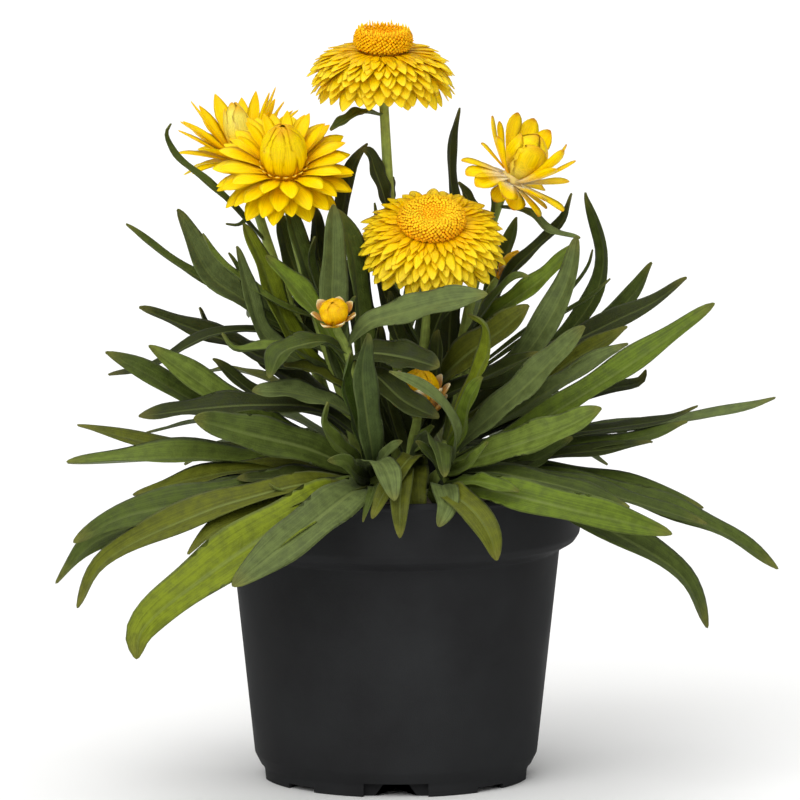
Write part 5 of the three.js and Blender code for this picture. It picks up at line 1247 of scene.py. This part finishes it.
RIGHT_EGG = [[3.6, 4.6], [5.4, 7.4], [6.2, 11], [5.8, 14.4], [4, 17.4], [0, 19]]
RIGHT_DOME = [[3.9, 6], [4.4, 9], [4.3, 12.6], [3.4, 16], [1.9, 17.8], [0, 18.6]]
BUDS = {
    "bud_left": {
        "stem": "leafy_stem_left", "count": 7, "collar": [[2.6, 1.6, 6.4, 20, 66, 3.2]],
        "closed": [[3.6, 2.4], [4.4, 4], [3.6, 6.6], [1.8, 8.2], [0, 8.6]],
    },
    "bud_middle": {
        "stem": "leafy_stem_middle", "count": 8,
        "collar": [[3, 1.8, 9, 10, 66, 4], [4, 3.2, 10.6, 40, 80, 4]],
        "closed": [[4.8, 4.2], [6, 7.2], [5.4, 10.8], [3, 14], [0, 15.5]],
    },
    "bud_right": {
        "stem": "leafy_stem_back_right", "count": 5, "collar": [[1.4, 1.2, 5, 30, 70, 2]],
        "closed": [[1.8, 2.4], [2.3, 5], [1.7, 8.6], [0, 11]],
    },
}


def core(profile, foot_radius=1.6, inset=0.4):
    """A closed body just inside a profile, from the head's foot to its top."""
    inner = [[max(r - inset, 0), h - inset] for r, h in profile]
    radius, height = profile[0]
    waist = [max(radius - inset, foot_radius), height * 0.5]
    return [[0, 0.1], [foot_radius, 0.1], waist, *inner]


def open_bloom(name, stem, count, rows, inner_row, height, seed, material):
    """An open bloom: many layers of bracts from the lowest, which droops, to the short ones under the
    disc, which are more golden, over a low body. The gold of the inner layers and the orange of the
    feet are partly the bracts' own tones and partly painted shade."""
    rng = np.random.default_rng(seed)
    head = head_frame(stem)
    growth = Growth()
    marks = np.linspace(0, len(rows), LAYERS)
    table = ruled_bracts(count, rows_at([*rows, inner_row], marks), seed, 0.3)
    for layer, mark in zip(np.split(table, len(marks)), marks):
        # The inner layers, under the disc, turn more golden: partly their own tone, partly painted shade.
        gold = float(smooth(1.5, len(rows), mark))
        middle = blend(YELLOW, DEEP_YELLOW, gold)
        add_bracts(growth, head, layer, rng, cup=0.1, wider=1.1, blunt=0.6 * (1 - gold), foot=LIGHT_ORANGE,
                   middle=middle, tip=blend(YELLOW, LEMON, 0.2 * (1 - gold)))
    top = rows[-1][0]
    turned_body(growth, head, [[0, 0.1], [2, 0.1], [top - 1, 2.4], [top, height], [0, height]], DEEP_YELLOW)
    return growth.piece(name + "_petals", "bract", [name], material)


def floret_disc(name, stem, height, profile, many, size, seed, rim_share, tones, material):
    """A disc of florets over a body that fills it."""
    head = head_frame(stem, height + GAP)
    growth = Growth()
    body = [[max(r - 0.5, 0), max(h - 0.4, 0.1)] for r, h in profile]
    body[0] = [0, 0.1]
    turned_body(growth, head, body, tones[1])
    add_florets(growth, head, profile[1:], many, size, seed, rim_share, *tones)
    return growth.piece(name + "_florets", "floret", [name], material)


def behind(table, share):
    """The bracts of a table at angles whose sine is above the share: with 0, those of the back
    half."""
    return table[np.sin(table[:, 0]) > share]


def left_bloom(material):
    """The left bloom: wide spreading bracts, upright ones behind, round a closed cone of a few long
    bracts with a rim of small pale ones at its foot."""
    rng = np.random.default_rng(3)
    head = head_frame("leafy_stem_left_bloom")
    growth = Growth()
    turned_body(growth, head, core(LEFT_CONE, inset=0.6), DEEP_YELLOW)
    table = ruled_bracts(LEFT_COUNT, rows_at(LEFT_LAYERS, [0, 0.6, 1.2, 1.9]), 3)
    add_bracts(growth, head, table, rng, cup=0.16, blunt=0.4, wider=1.2, foot=LIGHT_ORANGE)
    upright = behind(ruled_bracts(LEFT_COUNT, rows_at(LEFT_LAYERS, [2.3, 3]), 43), 0.1)
    add_bracts(growth, head, upright, rng, cup=0.3, blunt=0.3, foot=GOLD, tip=DEEP_YELLOW)
    rows = [[0.0, 0.97, 5, 10, 0.05], [0.0, 0.9, 5, 7, 0.2]]
    add_bracts(growth, head, scale_table(LEFT_CONE, rows, 13), rng, cup=0.0, blunt=0.15, wrap=1.0,
               foot=YELLOW, middle=YELLOW, tip=GOLD, tip_from=0.86)
    teeth = scale_table(LEFT_CONE, [[0.0, 0.1, 17, 2.3, 0.5]], 15)
    add_bracts(growth, head, teeth, rng, foot=LIGHT_ORANGE, middle=LIGHT_ORANGE, tip=LEMON)
    return growth.piece("bloom_left_petals", "bract", ["bloom_left"], material)


def back_left_bloom(material):
    """The back left bloom: pointed bracts low in front and upright behind, round a pale closed bud."""
    rng = np.random.default_rng(4)
    head = head_frame("leafy_stem_back_left_bloom")
    growth = Growth()
    turned_body(growth, head, core(BACK_LEFT_BUD, inset=0.6), YELLOW)
    count = BACK_LEFT_COUNT + 2
    table = ruled_bracts(count, rows_at(BACK_LEFT_LAYERS, [0, 0.7]), 4)
    add_bracts(growth, head, table, rng, cup=0.25, blunt=0.35, wider=1.5, foot=GOLD, tip=YELLOW)
    upright = behind(ruled_bracts(count, rows_at(BACK_LEFT_LAYERS, [1.2, 1.6, 2]), 44), -0.35)
    add_bracts(growth, head, upright, rng, cup=0.3, blunt=0.25, wider=1.35, foot=GOLD, tip=DEEP_YELLOW)
    rows = [[0.0, 0.97, 3, 8, 0.05], [0.0, 0.84, 3, 6.6, 0.25]]
    add_bracts(growth, head, scale_table(BACK_LEFT_BUD, rows, 14), rng, cup=0.0, blunt=0.4, wrap=1.0,
               foot=YELLOW, middle=LEMON, tip=GOLD, tip_from=0.88)
    return growth.piece("bloom_back_left_petals", "bract", ["bloom_back_left"], material)


def right_bloom(material):
    """The right bloom: wide round-tipped bracts with pale feet, some turned back and some upright,
    round a closed egg of a few wide bracts with brown tips."""
    rng = np.random.default_rng(8)
    head = head_frame("leafy_stem_right_bloom")
    growth = Growth()
    turned_body(growth, head, core(RIGHT_DOME), PALE_YELLOW)
    low, side, upright = (placed_bracts(head, [row]) for row in RIGHT_LAYERS)
    add_bracts(growth, head, low, rng, cup=0.25, blunt=0.7, wider=1.3, foot=PALE_FOOT, tip=BROWN_TIP,
               tip_from=0.97)
    add_bracts(growth, head, side, rng, cup=0.25, blunt=0.7, wider=1.25, foot=PALE_FOOT, tip=GOLD,
               tip_from=0.95)
    add_bracts(growth, head, upright, rng, cup=0.3, blunt=0.7, wider=1.4, foot=DEEP_YELLOW, tip=BROWN_TIP,
               tip_from=0.97)
    rows = [[0.0, 0.97, 3, 13.4, 0.1], [0.0, 0.72, 3, 12.4, 0.3]]
    add_bracts(growth, head, scale_table(RIGHT_EGG, rows, 18), rng, cup=0.0, blunt=0.75, wrap=1.0,
               foot=LEMON, middle=YELLOW, tip=GOLD, tip_from=0.92)
    return growth.piece("bloom_right_petals", "bract", ["bloom_right"], material)


def bud(name, stem, count, collar, closed, seed, material):
    """A closed bud: a few wide scales that close over it, and a collar of tan ones."""
    rng = np.random.default_rng(seed)
    head = head_frame(stem)
    growth = Growth()
    turned_body(growth, head, core(closed, 1.2), GOLD)
    wide = max(radius for radius, _ in closed)
    rows = [[0.0, 0.97, 4, 1.8 * wide, 0.05], [0.0, 0.7, 4, 1.7 * wide, 0.2]]
    add_bracts(growth, head, scale_table(closed, rows, seed), rng, cup=0.0, blunt=0.7, wrap=1.0,
               foot=DEEP_YELLOW, middle=DEEP_YELLOW, tip=GOLD)
    add_bracts(growth, head, ruled_bracts(count, collar, seed), rng, cup=0.4, blunt=0.6, wider=1.25,
               foot=TAN, middle=TAN, tip=PALE_FOOT)
    return growth.piece(name + "_scales", "bud", [name], material)


# Pot and soil

POT_COLUMNS = 192
EDGE_ROUND = 0.45
SHARP_EDGE = math.radians(48)
DRAIN_SIDES = 24
DRAIN_CUT = (UP * 2, UP * 9)
CRUMBS = 420
CRUMB_REACH = 53.5
CRUMB_SIDES = 7
CRUMB_SQUASH = 0.7


def rounded(profile, radius):
    """A profile with each corner eased: a straight run, a cut a little before the corner, the middle
    of the parabola over the corner, a cut a little after it, and a straight run again."""
    profile = np.asarray(profile, float)
    eased = [profile[0]]
    for before, corner, after in zip(profile, profile[1:], profile[2:]):
        cut = min(radius, *(0.3 * np.linalg.norm(end - corner) for end in (before, after)))
        one, other = (corner + unit(end - corner) * cut for end in (before, after))
        far, near = (corner + unit(end - corner) * cut * 1.5 for end in (before, after))
        eased += [far, one, (one + 2 * corner + other) / 4, other, near]
    return np.array([*eased, profile[-1]])


def closed_body(name, build):
    """A plain mesh object made by a function that fills a Growth."""
    growth = Growth()
    build(growth)
    return growth.body(name)


def prisms(growth, outline, angles, near, far):
    """Upright outlines [across, up] stretched from one distance in front of the axis to another, and
    turned to each angle."""
    outline = np.asarray(outline, float)
    for angle in angles:
        turn = np.array([[math.cos(angle), math.sin(angle)], [-math.sin(angle), math.cos(angle)]])
        rings = []
        for distance in (near, far):
            flat = np.stack([outline[:, 0], np.full(len(outline), -distance)], axis=1) @ turn
            rings.append(np.column_stack([flat, outline[:, 1]]))
        rings = np.array(rings)[None]
        middle = rings.mean(axis=2)
        growth.shoots(rings, middle[:, 0], middle[:, 1], YELLOW, 0.0, 0.0)


def pot_body(growth):
    """The turned wall, from under the boss out to the skirt, up the outside, over the rim and down
    the inside to the floor: its eased profile of [radius, height] pairs carried round the axis."""
    inner_top = RIM_RADIUS - WALL
    profile = [
        [HUB_RADIUS, 0], [HUB_RADIUS, FLOOR_UNDERSIDE], [SKIRT_RADIUS - BODY_WALL, FLOOR_UNDERSIDE],
        [SKIRT_RADIUS - BODY_WALL, 0], [SKIRT_RADIUS, 0], [SKIRT_RADIUS + 0.3, SKIRT_HEIGHT],
        [BODY_FOOT_RADIUS, BODY_FOOT_HEIGHT], [BODY_TOP_RADIUS, BODY_TOP_HEIGHT],
        [COLLAR_FOOT_RADIUS - 1.4, COLLAR_FOOT_HEIGHT - 2.2], [COLLAR_FOOT_RADIUS, COLLAR_FOOT_HEIGHT],
        [RIM_RADIUS - 0.9, POT_HEIGHT - 2.4], [RIM_RADIUS, POT_HEIGHT - 1.6],
        [RIM_RADIUS - 0.5, POT_HEIGHT], [inner_top, POT_HEIGHT],
        [COLLAR_FOOT_RADIUS - WALL, COLLAR_FOOT_HEIGHT + 1],
        [BODY_TOP_RADIUS - BODY_WALL, BODY_TOP_HEIGHT + 0.8],
        [BODY_FOOT_RADIUS - BODY_WALL, FLOOR_TOP + 1], [BODY_FOOT_RADIUS - BODY_WALL - 1, FLOOR_TOP],
    ]
    profile = rounded([[0.5, 0], *profile, [0.5, FLOOR_TOP]], EDGE_ROUND)
    angle = turns(POT_COLUMNS)
    out = np.stack([np.cos(angle), np.sin(angle), 0 * angle], axis=1)
    rings = profile[:, :1, None] * out + profile[:, 1:, None] * UP
    growth.shoots(rings[None], np.zeros((1, 3)), UP[None] * FLOOR_TOP, YELLOW, 0.0, 0.0)


def pot_cuts(growth):
    """What is cut out of the wall: four wide notches in the skirt, four low ones between them, and a
    ring of round drain holes through the floor."""
    quarter = np.arange(4) * math.pi / 2
    wide, low = NOTCH_WIDTH / 2, SMALL_NOTCH_WIDTH / 2
    near, far = SKIRT_RADIUS - 3, SKIRT_RADIUS + 2
    outline = [[-wide, -1], [wide, -1], [wide, NOTCH_HEIGHT], [-wide, NOTCH_HEIGHT]]
    prisms(growth, outline, quarter, near, far)
    outline = [[-low, -1], [low, -1], [low, SMALL_NOTCH_HEIGHT], [-low, SMALL_NOTCH_HEIGHT]]
    prisms(growth, outline, quarter + math.pi / 4, near, far)
    turn = turns(DRAIN_SIDES)
    for i in range(DRAIN_HOLES):
        angle = (i + 0.5) * 2 * math.pi / DRAIN_HOLES
        middle = np.array([DRAIN_RING * math.cos(angle), DRAIN_RING * math.sin(angle), 0])
        ring = np.stack([np.cos(turn), np.sin(turn), 0 * turn], axis=1) * DRAIN_RADIUS + middle
        rings = np.stack([ring + end for end in DRAIN_CUT])[None]
        growth.shoots(rings, *((middle + end)[None] for end in DRAIN_CUT), YELLOW, 0.0, 0.0)


def pot_set_backs(growth):
    """What is joined on: an upright wall set back behind each wide notch, with an opening that
    narrows upwards."""
    top, foot, half = 3.8, 6.5, NOTCH_WIDTH / 2 + 1.5
    head = FLOOR_UNDERSIDE + 0.6
    outline = [[-half, 0], [-foot, 0], [-top, NOTCH_HEIGHT - 0.6], [top, NOTCH_HEIGHT - 0.6], [foot, 0],
               [half, 0], [half, head], [-half, head]]
    near = SKIRT_RADIUS - 5.4
    prisms(growth, outline, np.arange(4) * math.pi / 2, near, near + WALL)


def nursery_pot(material):
    """The pot: a turned wall, notches and drain holes cut out, set-back walls joined on."""
    body = closed_body("pot_moulding", pot_body)
    for build, way in ((pot_cuts, "DIFFERENCE"), (pot_set_backs, "UNION")):
        other = closed_body("pot_cutter", build)
        change = body.modifiers.new(way.lower(), "BOOLEAN")
        change.operation = way
        change.object = other
        change.solver = "EXACT"
    graph = bpy.context.evaluated_depsgraph_get()
    mesh = bpy.data.meshes.new_from_object(body.evaluated_get(graph))
    body.modifiers.clear()
    body.data = mesh
    for other in [o for o in bpy.data.objects if o.name.startswith("pot_cutter")]:
        bpy.data.objects.remove(other)
    mesh.polygons.foreach_set("use_smooth", np.ones(len(mesh.polygons), bool))
    mesh.set_sharp_from_angle(angle=SHARP_EDGE)
    mesh.materials.clear()
    mesh.materials.append(material)
    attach(body, "root")
    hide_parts("pot")
    return body


def soil_crumbs(material):
    """Crumbs of peat on the soil: balls with uneven radii, half sunk, scattered evenly by area, which
    the square root of an even draw gives."""
    rng = np.random.default_rng(21)
    many = CRUMBS
    reach = CRUMB_REACH * np.sqrt(rng.uniform(0, 1, many))
    angle = rng.uniform(0, 2 * np.pi, many)
    size = rng.uniform(0.6, 1.9, many) * (1 - 0.3 * rng.uniform(0, 1, many))
    middle = np.stack([reach * np.cos(angle), reach * np.sin(angle), SOIL_HEIGHT + 0.1 * size], axis=1)
    rise = np.linspace(0, np.pi, 6)[1:-1]
    turn = turns(CRUMB_SIDES)
    form = np.stack([
        np.sin(rise)[:, None] * np.cos(turn), np.sin(rise)[:, None] * np.sin(turn),
        -np.cos(rise)[:, None] + 0 * turn,
    ], axis=-1)
    uneven = rng.uniform(0.7, 1.25, (many, len(rise), CRUMB_SIDES, 1))
    rings = middle[:, None, None] + form * uneven * size[:, None, None, None] * [1, 1, CRUMB_SQUASH]
    ends = [middle + sign * UP * CRUMB_SQUASH * size[:, None] for sign in (-1, 1)]
    growth = Growth()
    growth.shoots(rings, ends[0], ends[1], YELLOW, 0.0, 0.0)
    return growth.piece("soil_crumbs", "soil", [], material)


# The whole plant

LEAF = leaf_green()
STEM = stem_green()
PETAL = papery("petal_yellow", 0.34)
SCALE = papery("bud_gold", 0.4)
FLORET = floret_orange()
BLACK = pot_black()
PEAT = damp_peat()

nursery_pot(BLACK)
soil_crumbs(PEAT)
soil = frame["nodes"]["soil"].data
soil.materials.clear()
soil.materials.append(PEAT)
for number, stem_name in enumerate(LEAFY_STEMS):
    leafy_stem(stem_name, 100 + number, (LEAF, STEM))
open_bloom("bloom_top", "leafy_stem_top_bloom", TOP_COUNT, TOP_LAYERS, TOP_INNER, TOP_HEIGHT,
           seed=1, material=PETAL)
open_bloom("bloom_front", "leafy_stem_front_bloom", FRONT_COUNT, FRONT_LAYERS, FRONT_INNER, FRONT_HEIGHT,
           seed=2, material=PETAL)
floret_disc("disc_top", "leafy_stem_top_bloom", TOP_HEIGHT, TOP_DISC, many=640, size=0.85, seed=31,
            rim_share=0.36, tones=(ORANGE, LIGHT_ORANGE, SPIKE_YELLOW), material=FLORET)
floret_disc("disc_front", "leafy_stem_front_bloom", FRONT_HEIGHT, FRONT_DISC, many=620, size=0.86, seed=32,
            rim_share=1.3, tones=(SPIKE_YELLOW, ORANGE, SPIKE_YELLOW), material=FLORET)
left_bloom(PETAL)
back_left_bloom(PETAL)
right_bloom(PETAL)
for number, (bud_name, shape) in enumerate(BUDS.items()):
    bud(bud_name, seed=5 + number, material=SCALE, **shape)

# Floor, light and camera

FLOOR_HALF = 12.0
ROOM_LIGHT = 0.32
WHITE = (1, 1, 1, 1)
SENSOR_WIDTH = 36
LENS = 379.7
FAR_CLIP = 50


def pale_floor():
    """A wide flat floor, matte and nearly white."""
    mesh = bpy.data.meshes.new("floor")
    corners = [(x * FLOOR_HALF, y * FLOOR_HALF, 0) for x, y in ((-1, -1), (1, -1), (1, 1), (-1, 1))]
    mesh.from_pydata(corners, [], [(0, 1, 2, 3)])
    floor = linked("floor", mesh)
    finish = Finish("pale_floor", Roughness=0.9, Specular_IOR_Level=0.1)
    clouds = finish.speckle(3.0)
    mesh.materials.append(finish.wear(finish.mix(clouds, full("#f4f4f3"), full("#f7f7f6"))))


def soft_light(name, way, strength, spread):
    """A far soft lamp that shines along a way, as wide as its spread in radians."""
    lamp = bpy.data.lights.new(name, "SUN")
    lamp.energy = strength
    lamp.angle = spread
    made = linked(name, lamp)
    x, y, z = way
    made.rotation_euler = (math.atan2(math.hypot(x, y), -z), 0, math.atan2(x, -y) + math.pi)


def pale_room():
    """The room: a soft even light on the plant, and plain white where the camera sees past it."""
    world = bpy.data.worlds.new("pale_room")
    world.use_nodes = True
    room = world.node_tree
    lit = room.nodes["Background"]
    lit.inputs["Color"].default_value = WHITE
    lit.inputs["Strength"].default_value = ROOM_LIGHT
    shown = node(room, "ShaderNodeBackground", {"Color": WHITE, "Strength": 1.0})
    ray = node(room, "ShaderNodeLightPath")
    both = node(room, "ShaderNodeMixShader")
    room.links.new(ray.outputs["Is Camera Ray"], both.inputs[0])
    room.links.new(lit.outputs[0], both.inputs[1])
    room.links.new(shown.outputs[0], both.inputs[2])
    room.links.new(both.outputs[0], room.nodes["World Output"].inputs["Surface"])
    bpy.context.scene.world = world


def front_camera():
    """A camera far in front of the plant, a little above it, that looks slightly down."""
    camera = linked("camera", bpy.data.cameras.new("camera"))
    camera.data.sensor_width = SENSOR_WIDTH
    camera.data.lens = LENS
    camera.data.clip_end = FAR_CLIP
    camera.location = EYE * MM
    camera.rotation_euler = (math.pi / 2 - LOOK_DOWN, 0, 0)
    bpy.context.scene.camera = camera


pale_floor()
soft_light("key", (0.42, 0.9, -0.75), strength=2.1, spread=0.9)
soft_light("fill", (-0.8, 0.9, -0.6), strength=0.5, spread=1.2)
soft_light("above", (0.05, -0.1, -1), strength=1.5, spread=1.2)
pale_room()
front_camera()
bpy.context.scene.view_settings.view_transform = "Standard"
